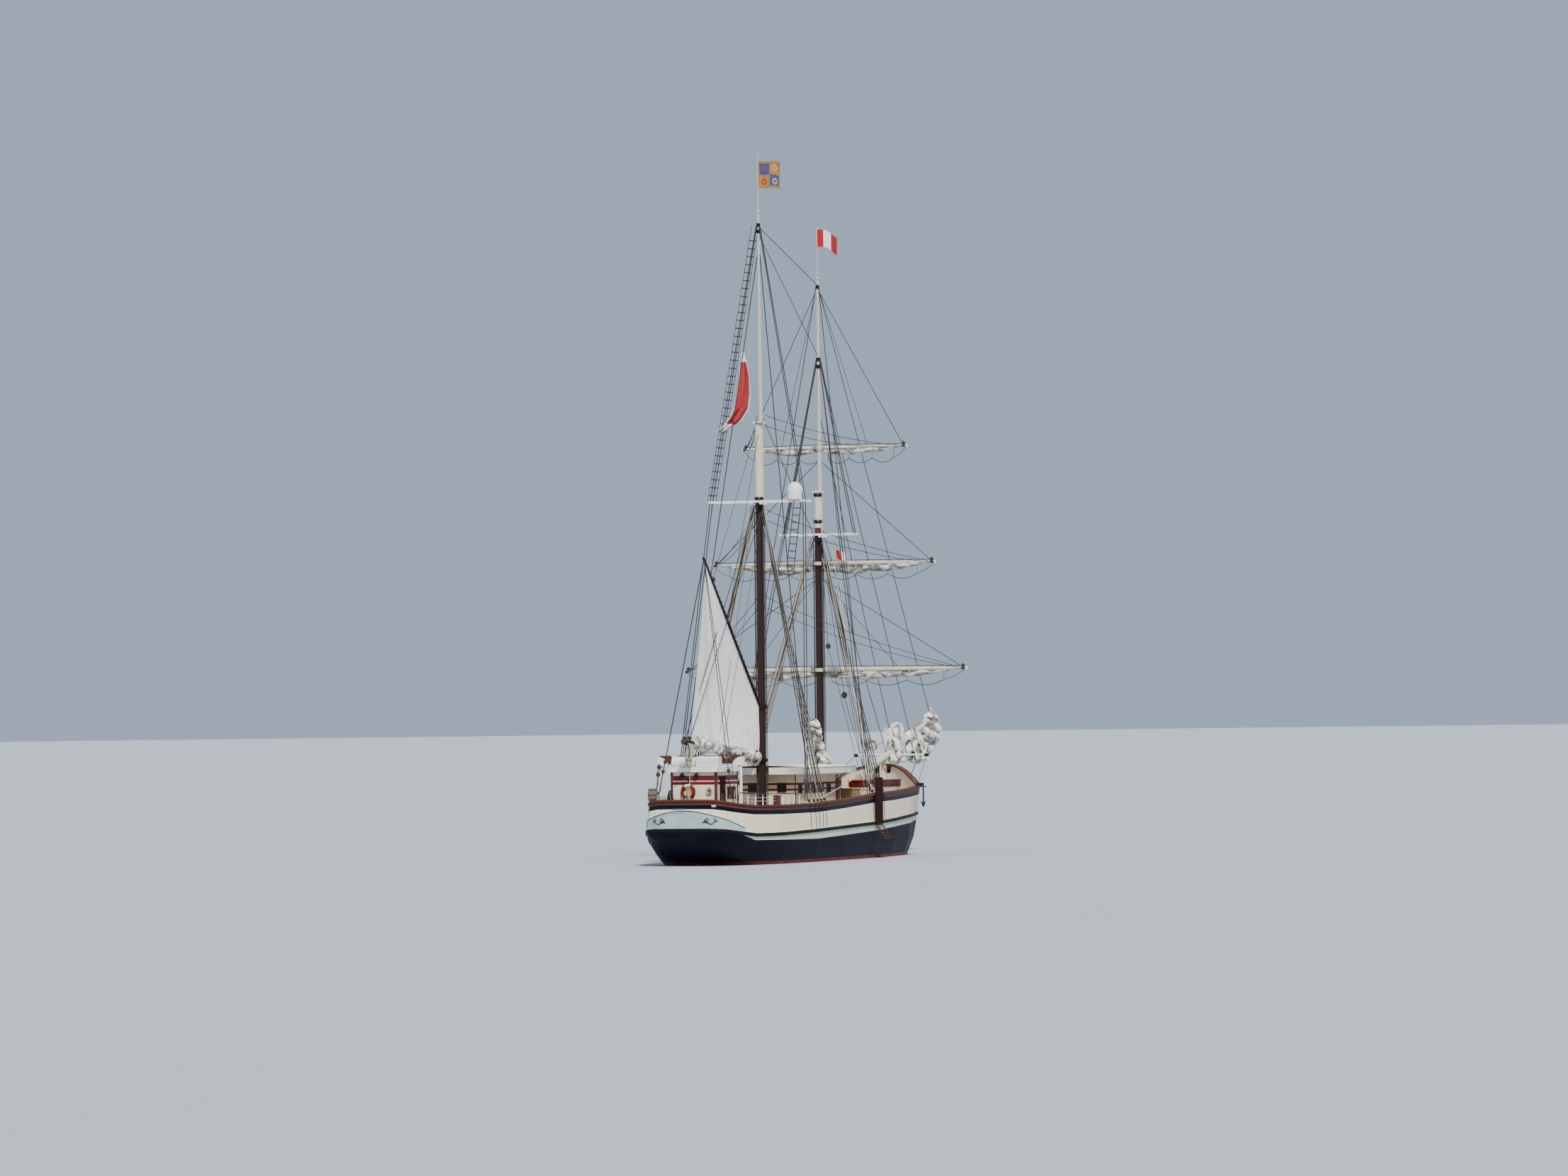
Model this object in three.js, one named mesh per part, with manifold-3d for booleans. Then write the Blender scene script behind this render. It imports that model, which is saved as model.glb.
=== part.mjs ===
// Two-masted brigantine: a decked hull with bulwarks, two deckhouses, three square yards on the foremast
// and a gaff mainsail. Millimetres, +X towards the bow, +Y to port, +Z up.
// The origin is at the waterline, on the centreline, amidships.

import * as THREE from 'three';
import { mergeVertices } from 'three/addons/utils/BufferGeometryUtils.js';
import Module from 'manifold-3d';

const wasm = await Module();
wasm.setup();

// Driving dimensions
const AMIDSHIPS = 14000; // distance of the origin from the transom
const GAP = 0.4; // left between pieces that touch
const BULWARK_THICK = 120;
const CAP_RAIL = { thick: 90, outside: 60, inside: 200 };
const WALE = { halfHeight: 80, proud: 50 };
const KEEL = { halfBreadth: 130, hullHalf: 150, underside: -2700, aft: 1850, fore: 24600 };

const MAIN_MAST = {
  x: 10440, radius: 185, headRadius: 165, hounds: 17150, cap: 20900, topRadius: 125, truckRadius: 60,
  truck: 31000, staff: 33800, spreader: 4900,
};
const FOREMAST = {
  x: 18650, radius: 180, headRadius: 160, hounds: 15750, cap: 17800, topRadius: 120, truckRadius: 60,
  truck: 28300, staff: 30800, spreader: 3760,
};
const BOWSPRIT = { heel: 24200, tip: 35400, atStem: 4800, slope: 0.26, radius: 190, tipRadius: 100 };
const BOOM = { inner: 4830, outer: 5780, outerX: 150, radius: 130, endRadius: 95 };
const GAFF = { throat: 7400, peakX: 2900, peak: 14330, radius: 95 };
const AFT_HOUSE = { aft: 1300, fore: 4100, halfWidth: 1130, roofTop: 4480, roofThick: 90, overhang: 110,
  wall: 90 };
const MID_HOUSE = { aft: 11100, fore: 17700, halfWidth: 1400, roofTop: 4250, roofThick: 100, overhang: 550,
  wall: 90 };

// Hull stations, in mm from the transom and above the waterline, breadths measured from the centreline
// [x, cap rail's top, deck, wale, half-breadth at cap rail, half-breadth at wale, underside, fullness of
// the bilge]
const STATIONS = [
  [0, 3100, 2150, 1680, 900, 980, 1280, 2.0],
  [130, 3090, 2130, 1670, 1380, 1480, 1200, 2.0],
  [400, 3020, 2080, 1640, 1820, 1960, 980, 2.0],
  [1000, 2930, 1990, 1560, 2120, 2270, 560, 2.0],
  [1600, 2870, 1930, 1490, 2340, 2480, 180, 2.0],
  [2400, 2810, 1880, 1420, 2560, 2680, -250, 2.0],
  [3500, 2790, 1850, 1415, 2830, 2920, -900, 2.0],
  [5000, 2780, 1850, 1425, 3110, 3180, -1600, 2.0],
  [8600, 2800, 1880, 1510, 3430, 3480, -2200, 2.1],
  [12100, 2930, 1980, 1600, 3540, 3570, -2350, 2.2],
  [16500, 3130, 2130, 1700, 3540, 3570, -2350, 2.2],
  [19600, 3210, 2240, 1820, 3490, 3490, -2350, 2.1],
  [22500, 3320, 2360, 1960, 3330, 3280, -2300, 1.9],
  [24600, 3420, 2460, 2050, 3060, 2900, -2150, 1.6],
  [25900, 3730, 2560, 2110, 2360, 2130, -1600, 1.35],
  [26800, 4150, 2640, 2150, 1600, 1400, -700, 1.25],
  [27400, 4350, 2690, 2170, 1050, 880, 300, 1.2],
  [27800, 4450, 2730, 2185, 560, 440, 1200, 1.2],
  [27950, 4480, 2750, 2190, 190, 190, 1700, 1.2],
].map(([x, cap, deck, wale, capHalf, waleHalf, under, fullness]) => (
  { x, cap, deck, wale, capHalf, waleHalf, under, fullness }));

const ship = new THREE.Group();

// General shapes

function material(color, roughness, metalness = 0) {
  return new THREE.MeshStandardMaterial({ color, roughness, metalness });
}

const PAINT = {
  navy: () => material(0x161a2c, 0.45),
  cream: () => material(0xe9e1cd, 0.5),
  white: () => material(0xf1efe8, 0.45),
  brown: () => material(0x54281c, 0.55),
  darkBrown: () => material(0x2c1712, 0.5),
  spar: () => material(0xd9d2bf, 0.5),
  canvas: () => material(0xece9de, 0.9),
  rope: () => material(0x3a3530, 0.9),
  bronze: () => material(0x8a6a35, 0.4, 0.9),
  iron: () => material(0x23262b, 0.6, 0.7),
  grey: () => material(0xb9b5ab, 0.55),
  antifouling: () => material(0x7b2a22, 0.8),
};

// Puts one piece into the ship under its own name
function add(name, geometry, paint) {
  const mesh = new THREE.Mesh(geometry, paint());
  mesh.name = name;
  ship.add(mesh);
  return mesh;
}

function solidOf(geometry) {
  const bare = geometry.clone();
  for (const attribute of Object.keys(bare.attributes)) {
    if (attribute !== 'position') bare.deleteAttribute(attribute);
  }
  const merged = mergeVertices(bare, 1e-3);
  return new wasm.Manifold(new wasm.Mesh({
    numProp: 3,
    vertProperties: new Float32Array(merged.attributes.position.array),
    triVerts: new Uint32Array(merged.index.array),
  }));
}

function geometryOf(solid) {
  const mesh = solid.getMesh();
  const geometry = new THREE.BufferGeometry();
  geometry.setAttribute('position', new THREE.BufferAttribute(new Float32Array(mesh.vertProperties), 3));
  geometry.setIndex(new THREE.BufferAttribute(new Uint32Array(mesh.triVerts), 1));
  return geometry;
}

function join(...geometries) {
  return geometryOf(geometries.map(solidOf).reduce((sum, next) => sum.add(next)));
}

function cut(geometry, ...tools) {
  return geometryOf(tools.map(solidOf).reduce((rest, tool) => rest.subtract(tool), solidOf(geometry)));
}

const aft = (x) => x - AMIDSHIPS; // from the transom to the origin's frame

function block(x0, x1, y0, y1, z0, z1) {
  const box = new THREE.BoxGeometry(x1 - x0, y1 - y0, z1 - z0);
  return box.translate(aft((x0 + x1) / 2), (y0 + y1) / 2, (z0 + z1) / 2);
}

// A plate with its outline in the XZ plane, x from the transom, and its thickness along Y
function sidePlate(outline, y0, y1, holes = []) {
  const shape = new THREE.Shape(outline.map(([x, z]) => new THREE.Vector2(aft(x), z)));
  for (const hole of holes) {
    shape.holes.push(new THREE.Path(hole.map(([x, z]) => new THREE.Vector2(aft(x), z))));
  }
  const plate = new THREE.ExtrudeGeometry(shape, { depth: y1 - y0, bevelEnabled: false });
  return plate.rotateX(Math.PI / 2).translate(0, y1, 0);
}

// A plate with its outline in the YZ plane and its thickness along X
function crossPlate(outline, x0, x1) {
  const shape = new THREE.Shape(outline.map(([y, z]) => new THREE.Vector2(y, z)));
  const plate = new THREE.ExtrudeGeometry(shape, { depth: x1 - x0, bevelEnabled: false });
  return plate.rotateX(Math.PI / 2).rotateZ(Math.PI / 2).translate(aft(x0), 0, 0);
}

// A round or tapered bar between two points, x from the transom
function rod(from, to, radius, endRadius = radius, sides = 8) {
  const start = new THREE.Vector3(aft(from[0]), from[1], from[2]);
  const end = new THREE.Vector3(aft(to[0]), to[1], to[2]);
  const along = end.clone().sub(start);
  const bar = new THREE.CylinderGeometry(endRadius, radius, along.length(), sides);
  bar.applyQuaternion(new THREE.Quaternion().setFromUnitVectors(new THREE.Vector3(0, 1, 0),
    along.normalize()));
  const middle = start.add(end).multiplyScalar(0.5);
  return bar.translate(middle.x, middle.y, middle.z);
}

// A turned piece round a vertical axis, its profile as [radius, z], closed on the axis or on itself
function turned(profile, x, y, sides = 12) {
  const lathe = new THREE.LatheGeometry(profile.map(([radius, z]) => new THREE.Vector2(radius, z)), sides);
  return lathe.rotateX(Math.PI / 2).translate(aft(x), y, 0);
}

function polygonArea(points) {
  return THREE.ShapeUtils.area(points);
}

// The two axes of the plane that a ring's own area faces most
function facedPlane(points) {
  const areas = [[1, 2], [2, 0], [0, 1]].map(([first, second]) => Math.abs(polygonArea(
    points.map((p) => new THREE.Vector2(p[first], p[second])))));
  return [[1, 2], [2, 0], [0, 1]][areas.indexOf(Math.max(...areas))];
}

// A skin through rings of equal length, closed by flat ends
function loft(rings) {
  const size = rings[0].length;
  const positions = rings.flat(2);
  const index = [];
  for (let ring = 0; ring + 1 < rings.length; ring += 1) {
    for (let side = 0; side < size; side += 1) {
      const near = ring * size;
      const next = (side + 1) % size;
      index.push(near + side, near + next, near + size + next);
      index.push(near + side, near + size + next, near + size + side);
    }
  }
  for (const [ring, forward] of [[0, false], [rings.length - 1, true]]) {
    const points = rings[ring];
    const [first, second] = facedPlane(points);
    const contour = points.map((p) => new THREE.Vector2(p[first], p[second]));
    const winding = Math.sign(polygonArea(contour));
    for (const face of THREE.ShapeUtils.triangulateShape([...contour], [])) {
      const same = Math.sign(polygonArea(face.map((corner) => contour[corner]))) === winding;
      const [a, b, c] = same === forward ? face : [face[0], face[2], face[1]];
      index.push(ring * size + a, ring * size + b, ring * size + c);
    }
  }
  const geometry = new THREE.BufferGeometry();
  geometry.setAttribute('position', new THREE.BufferAttribute(new Float32Array(positions), 3));
  geometry.setIndex(signedVolume(positions, index) < 0 ? flipped(index) : index);
  return geometry;
}

function flipped(index) {
  const turnedOver = [];
  for (let i = 0; i < index.length; i += 3) turnedOver.push(index[i], index[i + 2], index[i + 1]);
  return turnedOver;
}

function signedVolume(positions, index) {
  const at = (i) => new THREE.Vector3(positions[3 * i], positions[3 * i + 1], positions[3 * i + 2]);
  let volume = 0;
  for (let i = 0; i < index.length; i += 3) {
    volume += at(index[i]).dot(at(index[i + 1]).cross(at(index[i + 2])));
  }
  return volume;
}

// A value of the hull's table at any distance from the transom
function lineAt(column, x) {
  const fore = Math.max(1, STATIONS.findIndex((station) => station.x >= x));
  const [a, b] = [STATIONS[fore - 1], STATIONS[fore]];
  return a[column] + ((b[column] - a[column]) * (x - a.x)) / (b.x - a.x);
}

// The stations' own positions between two places, with both ends
function placesBetween(x0, x1) {
  return [x0, ...STATIONS.map((station) => station.x).filter((x) => x > x0 && x < x1), x1];
}

// Hull

function topsideHalf(station, z) {
  const rise = (z - station.wale) / (station.cap - station.wale);
  return station.waleHalf + (station.capHalf - station.waleHalf) * rise;
}

const BILGE_STEPS = 6;

function hullHalfSection(station) {
  const low = station.wale - WALE.halfHeight;
  const high = station.wale + WALE.halfHeight;
  const points = [];
  for (let step = 0; step <= BILGE_STEPS; step += 1) {
    const t = 1 - Math.cos((step / BILGE_STEPS) * (Math.PI / 2));
    const share = (1 - (1 - t) ** station.fullness) ** (1 / station.fullness);
    const y = KEEL.hullHalf + (station.waleHalf - KEEL.hullHalf) * share;
    points.push([y, station.under + t * (low - station.under)]);
  }
  points.push([station.waleHalf + WALE.proud, low]);
  points.push([topsideHalf(station, high) + WALE.proud, high]);
  points.push([topsideHalf(station, high), high]);
  points.push([topsideHalf(station, station.deck), station.deck]);
  return points;
}

function hull() {
  return loft(STATIONS.map((station) => {
    const half = hullHalfSection(station);
    const port = half.map(([y, z]) => [aft(station.x), y, z]);
    const starboard = [...half].reverse().map(([y, z]) => [aft(station.x), -y, z]);
    return [...port, ...starboard];
  }));
}

function keel() {
  const top = placesBetween(KEEL.aft, KEEL.fore).map((x) => [x, lineAt('under', x) - GAP]);
  const outline = [[KEEL.aft, KEEL.underside], [KEEL.fore, KEEL.underside], ...top.reverse()];
  const aperture = [[2200, -620], [3000, -880], [3000, -2300], [2200, -2300]];
  return sidePlate(outline, -KEEL.halfBreadth, KEEL.halfBreadth, [aperture]);
}

function bowspritAxis(x) {
  return BOWSPRIT.atStem + BOWSPRIT.slope * (x - AMIDSHIPS * 2);
}

function bowspritRadius(x) {
  return BOWSPRIT.radius + ((BOWSPRIT.tipRadius - BOWSPRIT.radius) * (x - BOWSPRIT.heel))
    / (BOWSPRIT.tip - BOWSPRIT.heel);
}

// The twelve-sided bowsprit turns almost a flat side up and down
const BOWSPRIT_FLAT = Math.cos(0.253) * Math.hypot(1, BOWSPRIT.slope);
const bowspritUnder = (x) => bowspritAxis(x) - bowspritRadius(x) * BOWSPRIT_FLAT;
const bowspritTop = (x) => bowspritAxis(x) + bowspritRadius(x) * BOWSPRIT_FLAT;

function stem() {
  const last = STATIONS.at(-1).x;
  const back = placesBetween(KEEL.fore + 1, last).map((x) => [x + GAP, lineAt('under', x) - GAP]);
  const front = [
    [25800, -2380], [26700, -1550], [27420, -350], [27880, 1000], [28120, 2500],
      [28200, bowspritUnder(28200) - GAP],
  ];
  const outline = [[KEEL.fore + 1, KEEL.underside], ...front, [last + GAP, bowspritUnder(last) - GAP],
    ...back.reverse()];
  return sidePlate(outline, -KEEL.halfBreadth, KEEL.halfBreadth);
}

// The plan of one side, from the stern's centre to the stem, moved inwards by an offset square to it
function sidePlan(halfAt, offset) {
  const line = [[0, GAP], ...STATIONS.map((station) => [station.x, halfAt(station)])];
  return line.map(([x, y], i) => {
    const before = line[Math.max(0, i - 1)];
    const after = line[Math.min(line.length - 1, i + 1)];
    const unit = (a, b) => new THREE.Vector2(b[0] - a[0], b[1] - a[1]).normalize();
    const ways = [];
    if (i > 0) ways.push(unit(before, line[i]));
    if (i + 1 < line.length) ways.push(unit(line[i], after));
    const normals = ways.map((way) => new THREE.Vector2(way.y, -way.x));
    const mean = normals.reduce((sum, next) => sum.clone().add(next), new THREE.Vector2()).normalize();
    const reach = offset / mean.dot(normals[0]);
    return [x + mean.x * reach, i === 0 ? y : y + mean.y * reach];
  });
}

const stationOfPoint = (i) => STATIONS[Math.max(0, i - 1)];

function sideWall(side, low, high, lowHalf, highHalf, outer, inner) {
  const lines = [
    [sidePlan(lowHalf, outer), low], [sidePlan(highHalf, outer), high],
    [sidePlan(highHalf, inner), high], [sidePlan(lowHalf, inner), low],
  ];
  const rings = lines[0][0].map((_, i) => lines.map(([plan, height]) => (
    [aft(plan[i][0]), side * plan[i][1], height(stationOfPoint(i))])));
  return loft(rings);
}

const CUT_MARGIN = 40; // how far a bulwark reaches into deck and cap rail before it is cut back to them

function bulwark(side) {
  const low = (station) => station.deck - CUT_MARGIN;
  const high = (station) => station.cap - CAP_RAIL.thick + CUT_MARGIN;
  const wall = sideWall(side, low, high, (s) => topsideHalf(s, low(s)), (s) => topsideHalf(s, high(s)), 0,
    BULWARK_THICK);
  const beyond = 600;
  const last = STATIONS.at(-1);
  const belowDeck = sidePlate([
    [-beyond, STATIONS[0].deck + GAP], ...STATIONS.map((s) => [s.x, s.deck + GAP]),
    [last.x + beyond, last.deck + GAP], [last.x + beyond, 0], [-beyond, 0],
  ], -5000, 5000);
  const sternSeam = block(-beyond, beyond, -3 * GAP, 3 * GAP, 0, 6000);
  const bowSeam = block(last.x - beyond, last.x + beyond, -last.capHalf - 15, last.capHalf + 15, 0, 6000);
  return cut(wall, belowDeck, sternSeam, bowSeam, capRail(side).translate(0, 0, -GAP));
}

function capRail(side, grown = 0) {
  const low = (station) => station.cap - CAP_RAIL.thick;
  const high = (station) => station.cap;
  const half = (station) => station.capHalf;
  return sideWall(side, low, high, half, half, -CAP_RAIL.outside - grown, CAP_RAIL.inside + grown);
}

// What stands on the cap rail reaches into it a little, and is cut back to its top
const SEAT_DEPTH = 15;

function seatedOnRail(side, geometry) {
  return cut(geometry, capRail(side, 2 * GAP).translate(0, 0, GAP));
}

// Rudder and propeller

const RUDDER = { axis: 1720, stock: 90, trailing: 900, foot: -2560 };

function rudder() {
  const top = lineAt('under', RUDDER.axis + RUDDER.stock) - GAP;
  const blade = sidePlate([
    [RUDDER.axis, RUDDER.foot], [RUDDER.axis, -120], [1350, -60], [RUDDER.trailing + 80, -420],
    [RUDDER.trailing, -1500], [RUDDER.trailing + 60, RUDDER.foot],
  ], -45, 45);
  const stock = rod([RUDDER.axis, 0, RUDDER.foot], [RUDDER.axis, 0, top], RUDDER.stock, RUDDER.stock, 12);
  return join(stock, blade);
}

const PROPELLER = { z: -1450, aft: 2560, fore: 3000, radius: 560, hub: 110, blades: 3 };

function propeller() {
  let solid = rod([PROPELLER.aft, 0, PROPELLER.z], [PROPELLER.fore - GAP, 0, PROPELLER.z], 75,
    PROPELLER.hub, 12);
  for (let blade = 0; blade < PROPELLER.blades; blade += 1) {
    const outline = new THREE.Shape();
    outline.moveTo(-70, 40);
    outline.quadraticCurveTo(-230, 330, -60, PROPELLER.radius);
    outline.lineTo(60, PROPELLER.radius);
    outline.quadraticCurveTo(230, 330, 70, 40);
    const plate = new THREE.ExtrudeGeometry(outline, { depth: 24, bevelEnabled: false, curveSegments: 4 });
    plate.translate(0, 0, -12).rotateY(Math.PI / 2 - 0.55).rotateX(Math.PI / 2 + (blade * 2 * Math.PI)
      / PROPELLER.blades);
    plate.translate(aft((PROPELLER.aft + PROPELLER.fore) / 2), 0, PROPELLER.z);
    solid = join(solid, plate);
  }
  return solid;
}

// Deckhouses

function deckOutline(house, inset, top) {
  const floor = placesBetween(house.aft + inset, house.fore - inset).map((x) => [x, lineAt('deck', x) + GAP]);
  return [...floor, [house.fore - inset, top], [house.aft + inset, top]];
}

function houseWalls(house, openings) {
  const top = house.roofTop - house.roofThick - GAP;
  const outer = sidePlate(deckOutline(house, 0, top), -house.halfWidth, house.halfWidth);
  const room = block(house.aft + house.wall, house.fore - house.wall, -house.halfWidth + house.wall,
    house.halfWidth - house.wall, 0, top + 100);
  return cut(outer, room, ...openings);
}

function houseRoof(house) {
  const edge = house.halfWidth + house.overhang;
  const low = house.roofTop - house.roofThick;
  const outline = [[-edge, low], [edge, low], [edge, house.roofTop - 30], [edge - 300, house.roofTop],
    [-edge + 300, house.roofTop], [-edge, house.roofTop - 30]];
  return crossPlate(outline, house.aft - 90, house.fore + 90);
}

const AFT_DOOR = { aft: 1780, fore: 2400, low: 2050, high: 4050, side: -1 };
const MID_DOOR = { aft: 16850, fore: 17470, low: 2330, high: 4030, side: -1 };
const DOOR_CLEARANCE = 6;

function doorway(house, door) {
  const outside = door.side * (house.halfWidth + 50);
  const inside = door.side * (house.halfWidth - house.wall - 50);
  return block(door.aft, door.fore, Math.min(outside, inside), Math.max(outside, inside), door.low,
    door.high);
}

// A door leaf as thick as the wall, its hinge edge towards the bow or the stern
function doorLeaf(house, door) {
  const outside = door.side * house.halfWidth;
  const inside = door.side * (house.halfWidth - house.wall);
  return block(door.aft + DOOR_CLEARANCE, door.fore - DOOR_CLEARANCE, Math.min(outside, inside),
    Math.max(outside, inside), door.low + GAP, door.high - DOOR_CLEARANCE);
}

// Windows as [side, distance of the aft edge from the transom]
const AFT_WINDOWS = {
  width: 420, low: 3150, high: 3620, places: [[1, 1750], [1, 2500], [-1, 2720], [-1, 3320]],
};
const MID_WINDOWS = {
  width: 480, low: 3250, high: 3650,
  places: [1, -1].flatMap((side) => [11600, 12600, 13600, 14600, 15600].map((x) => [side, x])),
};

function houseWindows(house, { width, low, high, places }) {
  return places.map(([side, x]) => block(x, x + width, side * house.halfWidth - 2 * house.wall,
    side * house.halfWidth + 2 * house.wall, low, high));
}

function aftHouse() {
  const windows = houseWindows(AFT_HOUSE, AFT_WINDOWS);
  add('aft_house_walls', houseWalls(AFT_HOUSE, [doorway(AFT_HOUSE, AFT_DOOR), ...windows]), PAINT.cream);
  add('aft_house_roof', houseRoof(AFT_HOUSE), PAINT.white);
  add('aft_house_door', doorLeaf(AFT_HOUSE, AFT_DOOR), PAINT.darkBrown);
}

function midHouse() {
  const windows = houseWindows(MID_HOUSE, MID_WINDOWS);
  add('mid_house_walls', houseWalls(MID_HOUSE, [doorway(MID_HOUSE, MID_DOOR), ...windows]), PAINT.cream);
  add('mid_house_roof', houseRoof(MID_HOUSE), PAINT.cream);
  add('mid_house_door', doorLeaf(MID_HOUSE, MID_DOOR), PAINT.brown);
}

// Deck fittings

const HATCH = { aft: 20300, fore: 21900, halfWidth: 850, rim: 3020, wall: 70, lidThick: 60 };

function hatch() {
  const outer = sidePlate(deckOutline(HATCH, 0, HATCH.rim), -HATCH.halfWidth, HATCH.halfWidth);
  const well = block(HATCH.aft + HATCH.wall, HATCH.fore - HATCH.wall, -HATCH.halfWidth + HATCH.wall,
    HATCH.halfWidth - HATCH.wall, 0, HATCH.rim + 100);
  add('hatch_coaming', cut(outer, well), PAINT.darkBrown);
  add('hatch_lid', block(HATCH.aft - 30, HATCH.fore + 30, -HATCH.halfWidth - 30, HATCH.halfWidth + 30,
    HATCH.rim + GAP, HATCH.rim + HATCH.lidThick), PAINT.brown);
}

const LOCKER = { aft: 22350, fore: 23000, halfWidth: 620, top: 3050 };
const GALLOWS = { x: 2250, half: 60, low: 4730, high: 5130, halfWidth: 2100, post: 60, notch: 210 };

function gallows() {
  const { halfWidth, low, high, notch } = GALLOWS;
  const scallop = (centre) => [[centre - notch, high], [centre - notch * 0.7, high - 110],
    [centre, high - 160],
    [centre + notch * 0.7, high - 110], [centre + notch, high]].reverse();
  const outline = [[-halfWidth, low + 120], [-halfWidth + 120, low], [halfWidth - 120, low],
    [halfWidth, low + 120],
    [halfWidth, high - 120], [halfWidth - 120, high], ...scallop(1300), ...scallop(0), ...scallop(-1300),
    [-halfWidth + 120, high], [-halfWidth, high - 120]];
  const beam = crossPlate(outline, GALLOWS.x - GALLOWS.half, GALLOWS.x + GALLOWS.half);
  const foot = lineAt('deck', GALLOWS.x - GALLOWS.post) + GAP;
  const posts = [1, -1].map((side) => rod([GALLOWS.x, side * (halfWidth - 110), foot],
    [GALLOWS.x, side * (halfWidth - 110), low + 100], GALLOWS.post));
  return join(beam, ...posts);
}

// A round canister stands to port and a box-like one to starboard
const LIFERAFT = { x: 1750, radius: 270, halfLength: 540, offset: 600, cradle: 60, bevel: 70 };

function liferaft(side) {
  const z = AFT_HOUSE.roofTop + LIFERAFT.cradle + LIFERAFT.radius;
  const centre = side * LIFERAFT.offset;
  const { halfLength: half, radius, bevel } = LIFERAFT;
  const round = rod([LIFERAFT.x, centre - half, z], [LIFERAFT.x, centre + half, z], radius, radius, 16);
  const [back, front, top, low] = [LIFERAFT.x - radius, LIFERAFT.x + radius, z + radius, z - radius + bevel];
  const outline = [[back, low], [back + bevel, low - bevel], [front - bevel, low - bevel], [front, low],
    [front, top - bevel], [front - bevel, top], [back + bevel, top], [back, top - bevel]];
  const boxed = sidePlate(outline, centre - half, centre + half);
  const shell = side > 0 ? round : boxed;
  const cradles = [-0.55, 0.55].map((share) => block(LIFERAFT.x - 220, LIFERAFT.x + 220,
    centre + share * half - 35,
    centre + share * half + 35, AFT_HOUSE.roofTop + GAP, z - radius * 0.6));
  return join(shell, ...cradles);
}

const HELM = { aft: 4750, fore: 5150, halfWidth: 260, top: 2850, wheelX: 5230, wheelZ: 2760,
  wheelRadius: 520 };

function helm() {
  const outline = deckOutline({ aft: HELM.aft, fore: HELM.fore }, 0, HELM.top);
  add('helm_box', sidePlate(outline, -HELM.halfWidth, HELM.halfWidth), PAINT.brown);
  const rim = new THREE.TorusGeometry(HELM.wheelRadius * 0.72, 32, 6, 24).rotateY(Math.PI / 2);
  rim.translate(aft(HELM.wheelX), 0, HELM.wheelZ);
  const hub = rod([HELM.fore + GAP, 0, HELM.wheelZ], [HELM.wheelX + 60, 0, HELM.wheelZ], 80, 80, 12);
  const spokes = [];
  for (let spoke = 0; spoke < 4; spoke += 1) {
    const angle = (spoke * Math.PI) / 4;
    const [y, z] = [Math.cos(angle) * HELM.wheelRadius, Math.sin(angle) * HELM.wheelRadius];
    spokes.push(rod([HELM.wheelX, -y, HELM.wheelZ - z], [HELM.wheelX, y, HELM.wheelZ + z], 17, 17, 6));
  }
  add('helm_wheel', join(hub, rim, ...spokes), PAINT.brown);
}

const WINDLASS = { aft: 24250, fore: 24550, post: 250, inner: 200, top: 4150, barrelX: 24000, barrelZ: 3020 };

function windlass() {
  const { inner, post } = WINDLASS;
  const posts = [1, -1].map((side) => {
    const outline = [...deckOutline({ aft: WINDLASS.aft, fore: WINDLASS.fore }, 0, WINDLASS.top)];
    return sidePlate(outline, Math.min(side * inner, side * (inner + post)),
      Math.max(side * inner, side * (inner + post)));
  });
  const seat = bowspritUnder(WINDLASS.aft + 20) - GAP;
  const beam = block(WINDLASS.aft + 20, WINDLASS.fore - 20, -inner - 40, inner + 40, seat - 220, seat);
  const cheeks = [1, -1].map((side) => block(WINDLASS.barrelX - 130, WINDLASS.aft + 20,
    Math.min(side * (inner + 160), side * (inner + 240)), Math.max(side * (inner + 160),
      side * (inner + 240)),
    WINDLASS.barrelZ - 130, WINDLASS.barrelZ + 130));
  add('windlass_frame', join(beam, ...posts, ...cheeks), PAINT.darkBrown);
  const half = inner + 160 - GAP;
  add('windlass_barrel', join(
    rod([WINDLASS.barrelX, -half, WINDLASS.barrelZ], [WINDLASS.barrelX, half, WINDLASS.barrelZ], 90, 90, 12),
    rod([WINDLASS.barrelX, -half + 60, WINDLASS.barrelZ], [WINDLASS.barrelX, 0, WINDLASS.barrelZ], 170, 120,
      12),
    rod([WINDLASS.barrelX, half - 60, WINDLASS.barrelZ], [WINDLASS.barrelX, 0, WINDLASS.barrelZ], 170, 120,
      12),
  ), PAINT.iron);
}

const BITTS = { x: 6300, y: 2820, spacing: 320, radius: 85, top: 2620 };

function mooringBitts(side) {
  const base = sidePlate(deckOutline({ aft: BITTS.x - 320, fore: BITTS.x + 320 }, 0,
    lineAt('deck', BITTS.x) + 90),
    side * BITTS.y - 110, side * BITTS.y + 110);
  const posts = [-0.5, 0.5].map((share) => rod([BITTS.x + share * BITTS.spacing, side * BITTS.y,
    lineAt('deck', BITTS.x) + 30],
    [BITTS.x + share * BITTS.spacing, side * BITTS.y, BITTS.top], BITTS.radius, BITTS.radius, 12));
  return join(base, ...posts);
}

const GANGWAY = { x: 16800, halfWidth: 470, thick: 70, low: 1640, high: 3900 };
GANGWAY.out = lineAt('waleHalf', GANGWAY.x - GANGWAY.halfWidth) + WALE.proud + GAP;

function gangwayBoard() {
  return block(GANGWAY.x - GANGWAY.halfWidth, GANGWAY.x + GANGWAY.halfWidth,
    -GANGWAY.out - GANGWAY.thick, -GANGWAY.out, GANGWAY.low, GANGWAY.high);
}

const LADDER = { halfWidth: 430, treads: 5, foot: 900, reach: 520, stile: 24, head: 60, tread: 60,
  treadHalfThick: 15 };

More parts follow.
